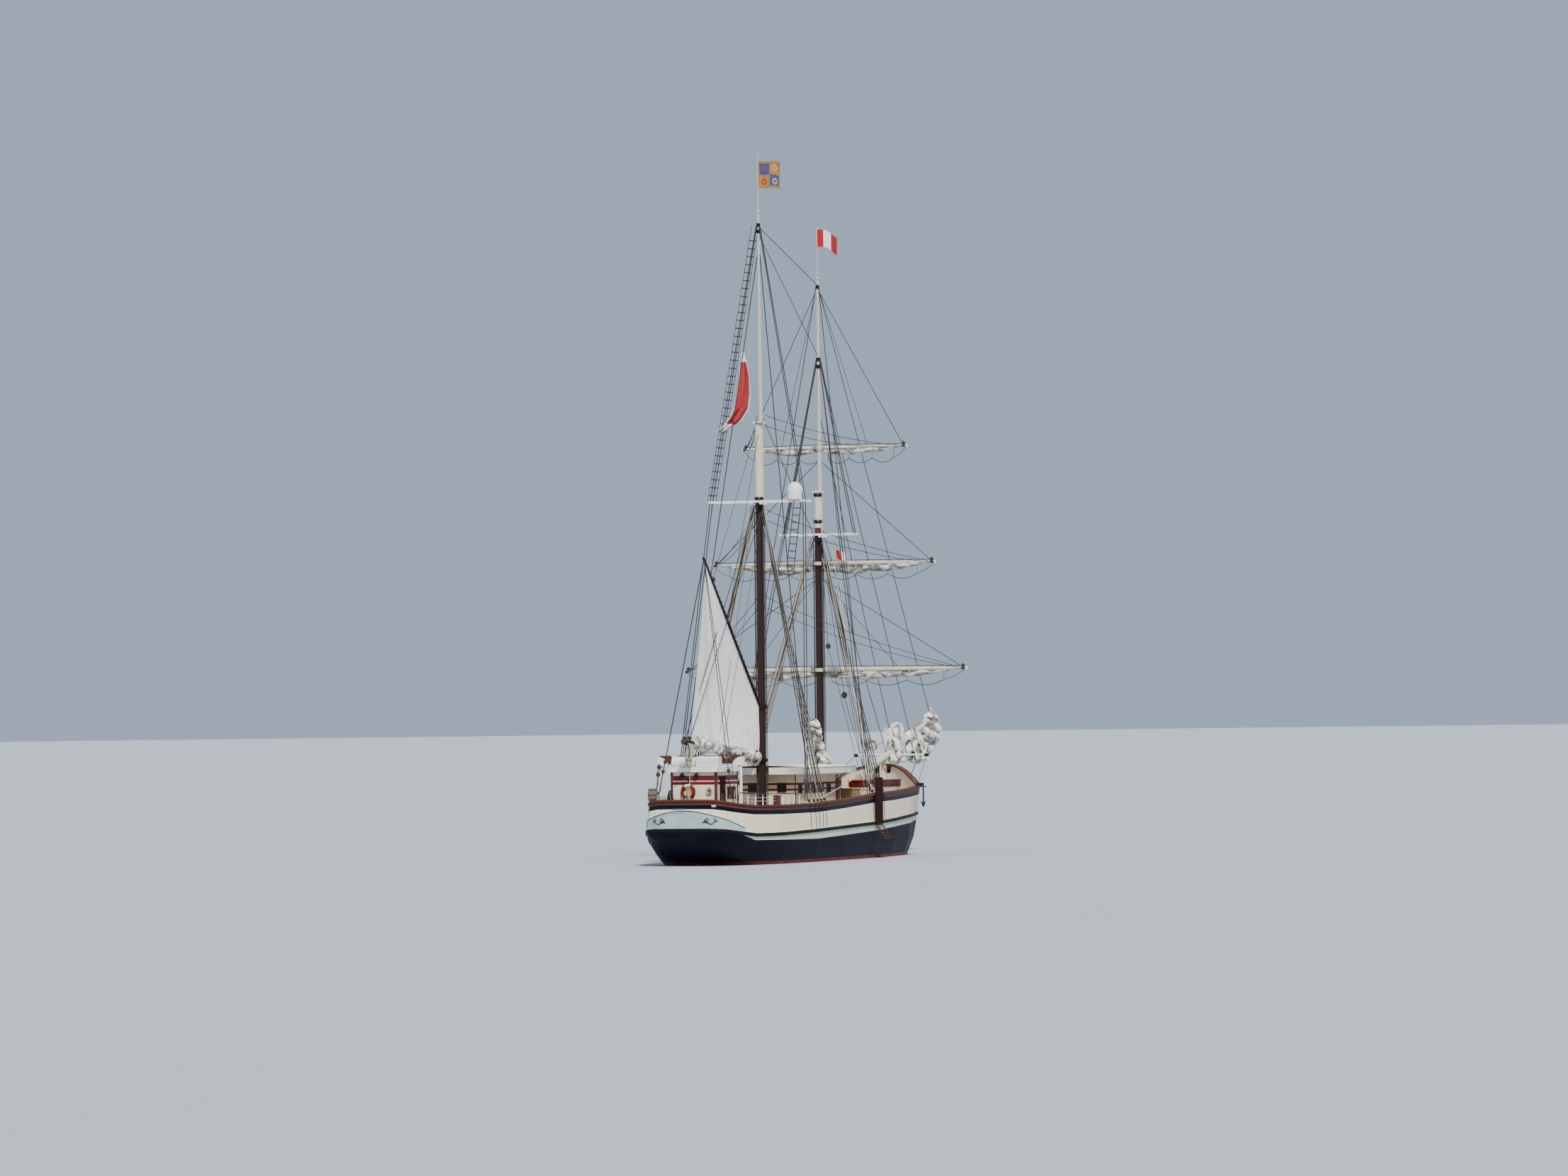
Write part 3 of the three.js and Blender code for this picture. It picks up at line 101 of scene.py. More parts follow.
def place_camera():
    data = bpy.data.cameras.new("camera")
    data.sensor_width = SENSOR_WIDTH
    data.lens = FOCAL_PIXELS * SENSOR_WIDTH / IMAGE_WIDTH
    data.clip_start, data.clip_end = 1.0, 3000.0
    camera = bpy.data.objects.new("camera", data)
    bpy.context.collection.objects.link(camera)
    ahead_x, ahead_y = CAMERA_HEADING
    forward = Vector((ahead_x * cos(CAMERA_PITCH), ahead_y * cos(CAMERA_PITCH), sin(CAMERA_PITCH)))
    level = Vector((ahead_y, -ahead_x, 0.0)).normalized()
    right = level * cos(CAMERA_ROLL) - level.cross(forward).normalized() * sin(CAMERA_ROLL)
    matrix = Matrix((right, right.cross(forward).normalized(), -forward)).transposed().to_4x4()
    matrix.translation = CAMERA_PLACE
    camera.matrix_world = matrix
    bpy.context.scene.camera = camera


place_camera()


# Materials
class Value:
    """A node's output that takes part in sums, products and comparisons."""

    def __init__(self, look, socket):
        self.look, self.socket = look, socket

    def __add__(self, other):
        return self.look.math("ADD", self, other)

    def __sub__(self, other):
        return self.look.math("SUBTRACT", self, other)

    def __rsub__(self, other):
        return self.look.math("SUBTRACT", other, self)

    def __mul__(self, other):
        return self.look.math("MULTIPLY", self, other)

    def __gt__(self, other):
        return self.look.math("GREATER_THAN", self, other)

    def __lt__(self, other):
        return self.look.math("GREATER_THAN", other, self)


def tinted(color, factor):
    return tuple(min(1.0, c * factor) for c in color)


class Finish:
    """A procedural material, made node by node. Its tone is the colour so far."""

    def __init__(self, name, rough=0.5, gloss=0.25, metal=0.0, coat=0.0, sheen=0.0):
        self.material = bpy.data.materials.new(name)
        self.material.use_nodes = True
        self.tree = self.material.node_tree
        self.shader = self.tree.nodes["Principled BSDF"]
        for key, value in (("Metallic", metal), ("Roughness", rough), ("Coat Weight", coat),
                           ("Sheen Weight", sheen), ("Specular IOR Level", gloss)):
            self.join(value, self.shader.inputs[key])
        self.place = self.node("TexCoord", output="Object")
        self.x, self.y, self.z = (self.node("SeparateXYZ", {0: self.place}, axis) for axis in "XYZ")

    def join(self, value, socket):
        if isinstance(value, Value):
            self.tree.links.new(value.socket, socket)
        else:
            socket.default_value = value

    def node(self, kind, inputs=None, output=0, **settings):
        made = self.tree.nodes.new("ShaderNode" + kind)
        for key, value in settings.items():
            setattr(made, key, value)
        for key, value in (inputs or {}).items():
            self.join(value, made.inputs[key])
        return Value(self, made.outputs[output])

    def math(self, operation, *values):
        return self.node("Math", dict(enumerate(values)), operation=operation)

    def mix(self, share, a, b):
        a, b = (v if isinstance(v, Value) else (*v, 1.0) for v in (a, b))
        return self.node("Mix", {0: share, 6: a, 7: b}, 2, data_type="RGBA")

    def lay(self, share, color):
        """A share of another colour over the tone."""
        self.tone = self.mix(share, self.tone, color)

    def grained(self, grain):
        return self.node("Mapping", {"Vector": self.place, "Scale": grain})

    def noise(self, scale, grain=(1, 1, 1), detail=5.0, rough=0.6):
        return self.node("TexNoise", {"Vector": self.grained(grain), "Scale": scale, "Detail": detail,
                                      "Roughness": rough})

    def spread(self, value, low, high):
        """The value between low and high stretched over 0 to 1."""
        return self.node("MapRange", {"Value": value, "From Min": low, "From Max": high},
                         interpolation_type="SMOOTHSTEP")

    def facing(self, axis):
        return self.node("SeparateXYZ", {0: self.node("NewGeometry", output="Normal")}, axis)

    def seams(self, along, spacing, width):
        """1 at the joints between boards of one breadth, and 0 on the boards."""
        return self.math("FRACT", along * (1.0 / spacing)) < width / spacing

    def board(self, along, spacing):
        """A steady random value for each board."""
        number = self.math("FLOOR", along * (1.0 / spacing))
        return self.node("TexWhiteNoise", {"W": number}, noise_dimensions="1D")

    def line(self, table):
        """A height that follows x by straight lines through the table's (x from the transom, height)."""
        length, top = 30.0, 6.0
        made = self.tree.nodes.new("ShaderNodeFloatCurve")
        points = made.mapping.curves[0].points
        rows = [(x / length, z / top) for x, z in table]
        rows = [(0.0, rows[0][1])] + [row for row in rows if row[0] > 0.001] + [(1.0, rows[-1][1])]
        while len(points) < len(rows):
            points.new(0.5, 0.5)
        for point, row in zip(points, rows):
            point.location = row
            point.handle_type = "VECTOR"
        made.mapping.update()
        self.join((self.x - TRANSOM) * (1.0 / length), made.inputs["Value"])
        return Value(self, made.outputs[0]) * top

    def aged(self, color, vary=0.14, scale=1.1, streaks=0.0):
        """The colour with broad and fine tone changes, and rain streaks down it."""
        broad = self.spread(self.noise(scale), 0.35, 0.65)
        tone = self.mix(broad, tinted(color, 1 - vary), tinted(color, 1 + vary * 0.5))
        tone = self.mix(self.noise(scale * 14, detail=3.0) * 0.25, tone, tinted(color, 1 - vary * 1.6))
        if streaks:
            runs = self.spread(self.noise(5.0, (1, 1, 0.07), 4.0), 0.55, 0.78)
            tone = self.mix(runs * streaks, tone, (0.22, 0.16, 0.1))
        return tone

    def done(self, rough, bump):
        """Joins the tone, a roughness (value, low, high) and a bump (height, strength, distance)."""
        self.join(self.tone, self.shader.inputs["Base Color"])
        if rough:
            made = self.node("MapRange", dict(zip(("Value", "To Min", "To Max"), rough)))
            self.join(made, self.shader.inputs["Roughness"])
        made = self.node("Bump", dict(zip(("Height", "Strength", "Distance"), bump)))
        self.join(made, self.shader.inputs["Normal"])
        return self.material


def paint(name, color, rough=0.42, vary=0.1, streaks=0.0, coat=0.0, bump=0.12):
    look = Finish(name, rough, coat=coat)
    look.tone = look.aged(color, vary, streaks=streaks)
    return look.done((look.noise(9.0), rough - 0.1, rough + 0.16), (look.noise(7.0, detail=8.0), bump, 0.01))


def wood(name, color, rough=0.45, along="X", board=None, vary=0.3, gloss=0.25):
    """Varnished or painted timber with its grain along one axis, in boards if a breadth is given."""
    look = Finish(name, rough, gloss)
    grain = tuple(0.12 if axis == along else 1.0 for axis in "XYZ")
    height = rings = look.noise(24.0, grain, 6.0, 0.65)
    look.tone = look.mix(look.spread(rings, 0.3, 0.7), tinted(color, 1 - vary), tinted(color, 1 + vary * 0.7))
    look.lay(look.spread(look.noise(1.6, grain, 3.0), 0.45, 0.75) * 0.45, tinted(color, 1 - vary * 1.2))
    if board:
        way = getattr(look, board[0])
        look.lay(look.board(way, board[1]) * 0.3, tinted(color, 0.6))
        seam = look.seams(way, board[1], 0.012)
        look.lay(seam * 0.75, tinted(color, 0.2))
        height = rings - seam
    return look.done((rings, rough - 0.08, rough + 0.2), (height, 0.25, 0.006))


def metal(name, color, rough, metalness, rust):
    look = Finish(name, rough, metal=metalness)
    worn = look.spread(look.noise(6.0), 0.55, 0.75)
    look.tone = look.mix(worn * rust, look.aged(color, 0.2, 3.0), (0.16, 0.07, 0.035))
    return look.done((look.noise(20.0), rough - 0.12, rough + 0.2),
                     (look.noise(45.0, detail=4.0), 0.2, 0.004))


def rope(name, color):
    """Laid rope or tarred wire, with its strands twisting round it."""
    look = Finish(name, 0.85)
    wave = look.node("TexWave", {"Vector": look.grained((1, 1, 1.4)), "Scale": 38.0, "Distortion": 2.0},
                     wave_type="BANDS", bands_direction="DIAGONAL")
    look.tone = look.mix(wave, tinted(color, 0.6), tinted(color, 1.2))
    return look.done((wave, 0.75, 0.98), (wave, 0.5, 0.004))


# A cloth's breadth between the sail's seams, and the seam's own
CLOTH_BREADTH, SEAM_BREADTH = 0.61, 0.028


def cloth(name, color, grime, creases, seam=None, fold_shade=0.0):
    """Sailcloth: a fine weave, soft creases, age stains, painted shade in the hollows of its folds, and seams
    if an axis is given.
    """
    look = Finish(name, 0.86, sheen=0.15)
    weave = look.math("SINE", (look.x + look.y) * 900.0) * look.math("SINE", look.z * 900.0)
    crease = look.noise(2.4, (1, 1, 0.6), 7.0, 0.62)
    stain = look.spread(look.noise(0.9, detail=6.0), 0.48, 0.75)
    look.tone = look.mix(stain * grime, color, tinted(color, 0.78))
    look.lay(look.spread(crease, 0.5, 0.8) * 0.3, tinted(color, 0.84))
    if fold_shade:
        # Painted shade: darker where the cloth's proud value is low, in the hollows between folds and inside
        # the bundle
        proud = look.spread(look.node("Attribute", output="Fac", attribute_name="proud"), -0.2, 0.1)
        look.lay((1.0 - proud) * fold_shade, tinted(color, 0.24))
    height = weave * 0.04 + crease * creases
    if seam:
        joint = look.seams(getattr(look, seam), CLOTH_BREADTH, SEAM_BREADTH)
        look.lay(joint * 0.35, tinted(color, 0.66))
        height = height + joint * 0.08
    return look.done(None, (height, 0.6, 0.05))


NAVY, CREAM, WHITE = (0.003, 0.0036, 0.011), (0.8, 0.71, 0.52), (0.86, 0.83, 0.75)
BROWN, DARK_BROWN, RED = (0.105, 0.032, 0.022), (0.028, 0.0105, 0.009), (0.15, 0.008, 0.012)
TEAL, BLACK, PALE_STRAKE = (0.36, 0.46, 0.44), (0.008, 0.008, 0.011), (0.62, 0.68, 0.58)
DECK_WOOD, ROPE_DARK, ROPE_PALE = (0.36, 0.26, 0.16), (0.05, 0.045, 0.042), (0.48, 0.42, 0.31)
SPAR_CREAM, MAST_GREY, MAST_CREAM = (0.6, 0.55, 0.44), (0.55, 0.52, 0.45), (0.68, 0.61, 0.46)
BOOT_TOP, CANVAS = (0.17, 0.028, 0.022), (0.84, 0.82, 0.75)

# The paint's edges along the side, as (x from the transom, height)
WALE_LINE = [(row[0], row[WALE]) for row in STATIONS]
CAP_LINE = [(row[0], row[CAP]) for row in STATIONS]
STRAKE_FOOT = [(0.0, 1.66), (0.9, 1.5), (2.4, 1.12), (8.6, 1.06), (16.5, 1.28), (23.0, 1.57), (27.95, 1.85)]
# Breadths of the planks and boards, and of the joints between the deck's
DECK_PLANK, SIDE_PLANK, HOUSE_BOARD, CAULKING = 0.14, 0.19, 0.16, 0.012


def hull_paint():
    """The hull's bands: red boot-top, navy, pale strake, black wale and cream, with a planked deck."""
    look = Finish("hull_paint", gloss=0.08)
    wale, foot = look.line(WALE_LINE), look.line(STRAKE_FOOT)
    level = look.z + (look.noise(2.0, detail=4.0) - 0.5) * 0.02
    runs = look.spread(look.noise(4.0, (1, 1, 0.08)), 0.55, 0.8)
    navy = look.mix(runs * 0.16, look.aged(NAVY, 0.35, 0.7), (0.016, 0.018, 0.03))
    look.tone = look.mix(level > 0.16, look.aged(BOOT_TOP, 0.35, 2.5), navy)
    look.lay((level > foot + 0.045) * (level < wale - 0.09), look.aged(PALE_STRAKE, 0.1, 0.9, 0.2))
    look.lay((level > foot) * (level < foot + 0.05), BLACK)
    look.lay(level > wale - 0.09, BLACK)
    look.lay(level > wale + 0.075, look.aged(CREAM, 0.07, 0.6, 0.14))
    sides = look.tone
    look.tone = look.mix(look.board(look.y, DECK_PLANK), tinted(DECK_WOOD, 0.8), tinted(DECK_WOOD, 1.2))
    look.lay(look.noise(14.0, (0.1, 1, 1), 6.0) * 0.5, tinted(DECK_WOOD, 0.6))
    look.lay(look.seams(look.y, DECK_PLANK, CAULKING) * 0.85, (0.02, 0.016, 0.014))
    on_deck = (look.facing("Z") > 0.8) * (look.z > 1.78)
    look.tone = look.mix(on_deck, sides, look.tone)
    relief = look.noise(3.0, (0.4, 1, 1), 6.0) * 0.5 - look.seams(look.z - wale, SIDE_PLANK, 0.014) * 0.25
    return look.done((on_deck + look.noise(8.0) * 0.4, 0.42, 0.85), (relief, 0.3, 0.012))


def bulwark_paint():
    """Cream bulwarks with the navy band and the brown strake under the cap rail."""
    look = Finish("bulwark_paint", gloss=0.12)
    cap = look.line(CAP_LINE)
    cream = look.aged(CREAM, 0.07, 0.6, 0.16)
    look.tone = look.mix(look.z > cap - 0.45, cream, look.aged(NAVY, 0.35, 0.9))
    brown = look.mix(look.noise(20.0, (0.1, 1, 1), 6.0), tinted(BROWN, 0.7), tinted(BROWN, 1.25))
    look.lay(look.z > cap - 0.25, brown)
    look.lay((look.z > cap - 0.49) * (look.z < cap - 0.45), WHITE)
    outside = look.facing("Y") * look.y > -0.2
    look.tone = look.mix(outside, cream, look.tone)
    relief = look.noise(3.0, (0.4, 1, 1), 6.0) * 0.5 - look.seams(cap - look.z, SIDE_PLANK, CAULKING) * 0.3
    return look.done((look.noise(8.0), 0.3, 0.55), (relief, 0.3, 0.012))


def house_paint(name, stripes):
    """Cream boarding, upright joints, and dark-red stripes at their heights."""
    look = Finish(name)
    look.tone = look.aged(CREAM, 0.08, 0.8, 0.15)
    joints = look.seams(look.x, HOUSE_BOARD, 0.008) + look.seams(look.y, HOUSE_BOARD, 0.008)
    look.lay(joints * 0.3, tinted(CREAM, 0.5))
    for low, high in stripes:
        look.lay((look.z > low) * (look.z < high), look.aged(RED, 0.2, 3.0))
    return look.done((look.noise(8.0), 0.3, 0.55), (joints * -1.0, 0.3, 0.006))


def mast_paint(name, foot, bands):
    """A mast painted in bands: the foot's colour below, then (height, colour) upwards."""
    look = Finish(name)
    grain = look.noise(18.0, (1, 1, 0.06), 6.0)
    look.tone = look.mix(grain, tinted(foot, 0.65), tinted(foot, 1.35))
    for low, color in bands:
        look.lay(look.z > low, look.mix(grain, tinted(color, 0.82), tinted(color, 1.08)))
    return look.done((grain, 0.3, 0.6), (grain, 0.2, 0.006))


LOOKS = {
    "hull": hull_paint(),
    "bulwark": bulwark_paint(),
    "antifouling": paint("antifouling", BOOT_TOP, 0.7, 0.3, bump=0.4),
    "cream": paint("cream_paint", CREAM, streaks=0.15),
    "white": paint("white_paint", WHITE, streaks=0.12),
    # Teal for the stern's board and plate: painted shade and painted reflection of the sea on real fittings
    "teal": paint("teal_paint", TEAL, 0.4, 0.12, 0.12),
    "teal_dark": paint("dark_teal_paint", tinted(TEAL, 0.4), 0.4, 0.12, 0.12),
    "black": paint("black_paint", BLACK, 0.35, 0.4),
    "red": paint("red_paint", RED, 0.4, 0.2),
    "chest": wood("chest_wood", (0.5, 0.36, 0.17), 0.5, "Y", ("z", 0.14)),
    "yellow": paint("yellow_paint", (0.75, 0.5, 0.04), 0.4, 0.15),
    "brown": wood("varnished_wood", BROWN, gloss=0.15),
    "brown_upright": wood("varnished_wood_upright", BROWN, 0.5, "Z", gloss=0.1),
    "dark_brown": wood("dark_wood", DARK_BROWN, 0.6, "Z", gloss=0.03),
    "dark_brown_long": wood("dark_wood_long", DARK_BROWN, 0.6, gloss=0.05),
    "spar": wood("spar_paint", SPAR_CREAM, 0.5, "Y", vary=0.12),
    "spar_long": wood("long_spar_paint", SPAR_CREAM, 0.5, vary=0.14),
    "block": wood("block_wood", (0.05, 0.035, 0.03), 0.5, "Z"),
    "teak": wood("bare_teak", (0.33, 0.23, 0.14), 0.65, board=("y", 0.1)),
    "iron": metal("iron", (0.03, 0.032, 0.038), 0.5, 0.6, 0.25),
    "bronze": metal("bronze", (0.5, 0.33, 0.12), 0.35, 0.9, 0.1),
    "gelcoat": paint("gelcoat", CANVAS, 0.25, 0.05, 0.1, 0.4, 0.05),
    "roof": paint("roof_paint", (0.8, 0.76, 0.64), 0.55),
    "glass": paint("dark_glass", (0.012, 0.014, 0.018), 0.3, 0.2, coat=0.1, bump=0.02),
    "wire": rope("tarred_wire", ROPE_DARK),
    "rope": rope("pale_rope", ROPE_PALE),
    "white_rope": rope("white_rope", (0.72, 0.7, 0.64)),
    "sail": cloth("sailcloth", (0.93, 0.92, 0.88), 0.2, 0.25, "x"),
    "furled": cloth("furled_canvas", CANVAS, 0.4, 0.8, fold_shade=0.9),
    # The square sails' rolls: greyer canvas as painted shade for their place under the yards, with painted
    # shade in their folds as well
    "square": cloth("shaded_square_canvas", (0.66, 0.64, 0.58), 0.5, 0.8, fold_shade=0.9),
    "bunt": cloth("worn_canvas", (0.17, 0.125, 0.105), 0.5, 0.8),
    "aft_walls": house_paint("aft_house_paint", [(3.77, 3.91), (3.96, 4.19)]),
    "mid_walls": house_paint("mid_house_paint", [(3.36, 3.44), (3.62, 3.72)]),
    "main_mast": mast_paint("main_mast_paint", DARK_BROWN, [(17.12, MAST_CREAM)]),
    "fore_mast": mast_paint("fore_mast_paint", DARK_BROWN, [(15.72, BROWN), (16.1, MAST_CREAM)]),
    "main_topmast": mast_paint("main_topmast_paint", MAST_CREAM, [(21.2, MAST_GREY)]),
    "fore_topmast": mast_paint("fore_topmast_paint", MAST_CREAM, [(17.95, MAST_GREY)]),
}

NODE_LOOKS = {
    "hull": "hull stem", "antifouling": "keel rudder", "bronze": "propeller", "teak": "hatch_lid",
    "bulwark": "bulwark_port bulwark_starboard", "cream": "deck_locker windlass_frame",
    "brown": "cap_rail_port cap_rail_starboard gallows helm_wheel",
    "iron": "mooring_bitts_port mooring_bitts_starboard anchor_port anchor_starboard windlass_barrel",
    "aft_walls": "aft_house_walls", "mid_walls": "mid_house_walls", "roof": "mid_house_roof",
    "white": "aft_house_roof main_crosstrees fore_crosstrees bowsprit_spreader", "red": "mid_house_door",
    "dark_brown": "aft_house_door gangway_board", "dark_brown_long": "hatch_coaming boom gaff",
    "brown_upright": "helm_box boarding_ladder", "main_mast": "main_lower_mast",
    "main_topmast": "main_topmast", "fore_mast": "fore_lower_mast", "fore_topmast": "fore_topmast",
    "gelcoat": "radome liferaft_port liferaft_starboard", "spar": "course_yard topsail_yard topgallant_yard",
    "spar_long": "bowsprit", "wire": "forestay fore_topmast_stay main_stay main_topmast_stays",
}
for look, names in NODE_LOOKS.items():
    for name in names.split():
        mesh = NODES[name].data
        mesh.materials.clear()
        mesh.materials.append(LOOKS[look])
        mesh.shade_smooth()
        mesh.set_sharp_from_angle(angle=NODE_EDGE)


# Shapes, each as (points, faces)
def turns(count):
    """So many angles spaced evenly round a full turn."""
    return [TURN * i / count for i in range(count)]


def loft(rings, closed=False):
    """A skin over rings of points, capped at both ends unless it closes on itself."""
    sides, count = len(rings[0]), len(rings)
    faces = []
    for ring in range(count if closed else count - 1):
        shift = sides if ring + 1 < count else sides - count * sides
        for side in range(sides):
            a, b = ring * sides + side, ring * sides + (side + 1) % sides
            faces.append((a, b, b + shift, a + shift))
    if not closed:
        faces += [tuple(range(sides))[::-1], tuple(range((count - 1) * sides, count * sides))]
    return [point for ring in rings for point in ring], faces


def tube(points, radius, sides=6, end_radius=None, closed=False):
    """A round bar along points, its radius changing evenly to end_radius."""
    points = [Vector(p) for p in points]
    count = len(points)
    end_radius = radius if end_radius is None else end_radius
    rings, normal = [], None
    for i, point in enumerate(points):
        before = points[i - 1] if i or closed else point
        after = points[(i + 1) % count] if i + 1 < count or closed else point
        along = (after - before).normalized()
        if normal is None:
            normal = along.orthogonal().normalized()
        normal = (normal - along * normal.dot(along)).normalized()
        across = along.cross(normal)
        reach = radius + (end_radius - radius) * i / max(1, count - 1)
        rings.append([point + (normal * cos(a) + across * sin(a)) * reach for a in turns(sides)])
    return loft(rings, closed)


def bar(a, b, radius, sides=6, end_radius=None):
    return tube([a, b], radius, sides, end_radius)


def sagged(a, b, radius, sag=0.0, steps=8, sides=5):
    """A rope between two points that hangs down by sag in its middle."""
    shares = [i / steps for i in range(steps + 1)]
    fall = [Vector((0, 0, sag * 4 * share * (1 - share))) for share in shares]
    return tube([Vector(a).lerp(Vector(b), share) - drop for share, drop in zip(shares, fall)], radius, sides)


def box(*limits):
    """A box from its two limits along x, along y and along z."""
    xs, ys, zs = (sorted(limits[i:i + 2]) for i in (0, 2, 4))
    verts = [Vector((x, y, z)) for x in xs for y in ys for z in zs]
    return verts, [(0, 1, 3, 2), (4, 6, 7, 5), (0, 4, 5, 1), (2, 3, 7, 6), (0, 2, 6, 4), (1, 5, 7, 3)]


def round_axis(axis):
    """The axis at length 1, and a function that gives the direction at an angle round it."""
    axis = Vector(axis).normalized()
    normal = axis.orthogonal().normalized()
    across = axis.cross(normal)
    return axis, lambda a: normal * cos(a) + across * sin(a)


def turned(profile, centre, axis=UP, sides=12):
    """A shape turned round an axis, its profile as (radius, distance along the axis)."""
    axis, way = round_axis(axis)
    return loft([[Vector(centre) + axis * along + way(a) * max(radius, 0.0005) for a in turns(sides)]
                 for radius, along in profile])


def hoop(centre, axis, radius, thick, steps=24, sides=6):
    way = round_axis(axis)[1]
    return tube([Vector(centre) + way(a) * radius for a in turns(steps)], thick, sides, closed=True)


def surface(columns, rows, at):
    """An open sheet of columns by rows cells, at(u, v) giving its points."""
    verts = [Vector(at(i / columns, j / rows)) for j in range(rows + 1) for i in range(columns + 1)]
    corners = [j * (columns + 1) + i for j in range(rows) for i in range(columns)]
    return verts, [(a, a + 1, a + columns + 2, a + columns + 1) for a in corners]


def piece(name, shapes, look, body="ship", bevel=0.0, smooth=True, ride=True):
    """One object from its shapes, with its finish, riding on its body."""
    verts, faces = [], []
    for shape_verts, shape_faces in shapes:
        faces += [tuple(i + len(verts) for i in face) for face in shape_faces]
        verts += [tuple(v) for v in shape_verts]
    mesh = bpy.data.meshes.new(name)
    mesh.from_pydata(verts, [], faces)
    mesh.validate()
    mesh.materials.append(LOOKS[look])
    obj = bpy.data.objects.new(name, mesh)
    bpy.context.collection.objects.link(obj)
    if smooth:
        mesh.shade_smooth()
        mesh.set_sharp_from_angle(angle=PIECE_EDGE)
    if bevel:
        edge = obj.modifiers.new("worn edges", "BEVEL")
        edge.width, edge.segments, edge.limit_method = bevel, 2, "ANGLE"
    if ride:
        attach(obj, body)
    return obj


# Floor and light, the suns as (name, towards, strength, angle in degrees, colour)
FLOOR_REACH = 2500.0
SKY_COLOR, SKY_STRENGTH = (0.62, 0.79, 1.0, 1.0), 0.6
SUNS = [("key", (0.52, 0.36, -0.775), 5.3, 6, (1.0, 0.96, 0.9)),
        ("fill", (0.5, -0.75, -0.43), 0.5, 60, (0.9, 0.95, 1.0))]


def stage():
    mesh = bpy.data.meshes.new("floor")
    mesh.from_pydata([(FLOOR_REACH * x, FLOOR_REACH * y, 0) for x, y in ((-1, -1), (1, -1), (1, 1), (-1, 1))],
                     [], [(0, 1, 2, 3)])
    floor = bpy.data.objects.new("floor", mesh)
    bpy.context.collection.objects.link(floor)
    look = Finish("floor_finish", 0.75)
    tone = look.mix(look.noise(0.03), (0.4, 0.44, 0.5), (0.46, 0.5, 0.56))
    look.join(tone, look.shader.inputs["Base Color"])
    mesh.materials.append(look.material)
    world = bpy.data.worlds.new("studio")
    world.use_nodes = True
    background = world.node_tree.nodes["Background"].inputs
    background["Color"].default_value = SKY_COLOR
    background["Strength"].default_value = SKY_STRENGTH
    bpy.context.scene.world = world
    for name, towards, strength, angle, color in SUNS:
        data = bpy.data.lights.new(name, "SUN")
        data.energy, data.angle, data.color = strength, radians(angle), color
        lamp = bpy.data.objects.new(name, data)
        lamp.rotation_mode = "QUATERNION"
        lamp.rotation_quaternion = Vector(towards).to_track_quat("-Z", "Y")
        bpy.context.collection.objects.link(lamp)


stage()


# Sails
BOOM_LINE = [(-13.85, 5.78), (-3.56, 4.83)]
GAFF_END, GAFF_JAWS = Vector((-11.1, 0, 14.33)), Vector((-3.85, 0, 7.4))
LEECH_FOOT, LUFF_FOOT = Vector((-12.9, 0, 6.1)), Vector((-3.98, 0, 5.25))
SAIL_PEAK, SAIL_THROAT = Vector((-10.82, 0, 13.95)), Vector((-4.0, 0, 7.43))


def main_at(u, v):
    """A place on the set mainsail: u from leech to luff, v from foot to gaff, its belly to port."""
    point = LEECH_FOOT.lerp(LUFF_FOOT, u).lerp(SAIL_PEAK.lerp(SAIL_THROAT, u), v)
    belly = 0.34 * sin(pi * min(1, u * 1.05)) ** 0.8 * sin(pi * min(1.0, v * 0.92 + 0.06))
    flutter = 0.03 * sin(9 * u + 5 * v) * (1 - v)
    scallop = 0.05 * sin(9 * TURN * u) * (1 - v) ** 3
    return point + Vector((0.12 * sin(pi * v) * (1 - u), belly + flutter, -scallop))


def set_mainsail():
    """The set mainsail with its boltrope, its lacing to the gaff and its reef points."""
    sail = piece("mainsail_cloth", [surface(60, 48, main_at)], "sail", "boom_and_gaff")
    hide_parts("mainsail")
    edges = [tube([main_at(0, j / 24) for j in range(25)], 0.022),
             tube([main_at(j / 24, 1) for j in range(25)], 0.018),
             tube([main_at(1, j / 12) for j in range(13)], 0.022)]
    piece("mainsail_boltrope", edges, "white_rope", "boom_and_gaff")
    lacing = []
    for i in range(30):
        share = (i + 0.5) / 30
        spot = GAFF_END.lerp(GAFF_JAWS, share) + Vector((0.1, 0, -0.09))
        lacing.append(hoop(spot, (0.73, 0.12, -0.69), 0.125 - 0.03 * (1 - share), 0.012, 14, 5))
    piece("gaff_lacing", lacing, "wire", "boom_and_gaff")
    points = []
    for row in (0.14, 0.3):
        for i in range(1, 14):
            spot = main_at(i / 14, row)
            for way in BOTH:
                bends = [(0, 0, 0), (0, 0.035 * way, -0.08), (0.02 * way, 0.03 * way, -0.36)]
                points.append(tube([spot + Vector(bend) for bend in bends], 0.008, 4))
    piece("reef_points", points, "rope", "boom_and_gaff")


set_mainsail()


def crumple(point, grain, seed):
    """How far furled canvas stands out at a place, in radii: flat facets with sharp folds."""
    place = Vector(p * g for p, g in zip(point, grain)) + Vector((seed, 2.7 * seed, 0))
    (near, far, *_), cells = noise.voronoi(place)
    tilt = noise.cell_vector(cells[0] * 3.1) * 2 - Vector((1, 1, 1))
    small = noise.voronoi(place * 2.3 + Vector((0, 5, 0)))[0]
    facet = 0.5 * (place - cells[0]).dot(tilt)
    return 0.46 * min(0.62, far - near) - 0.2 + facet + 0.2 * (0.25 - min(0.5, small[1] - small[0]))


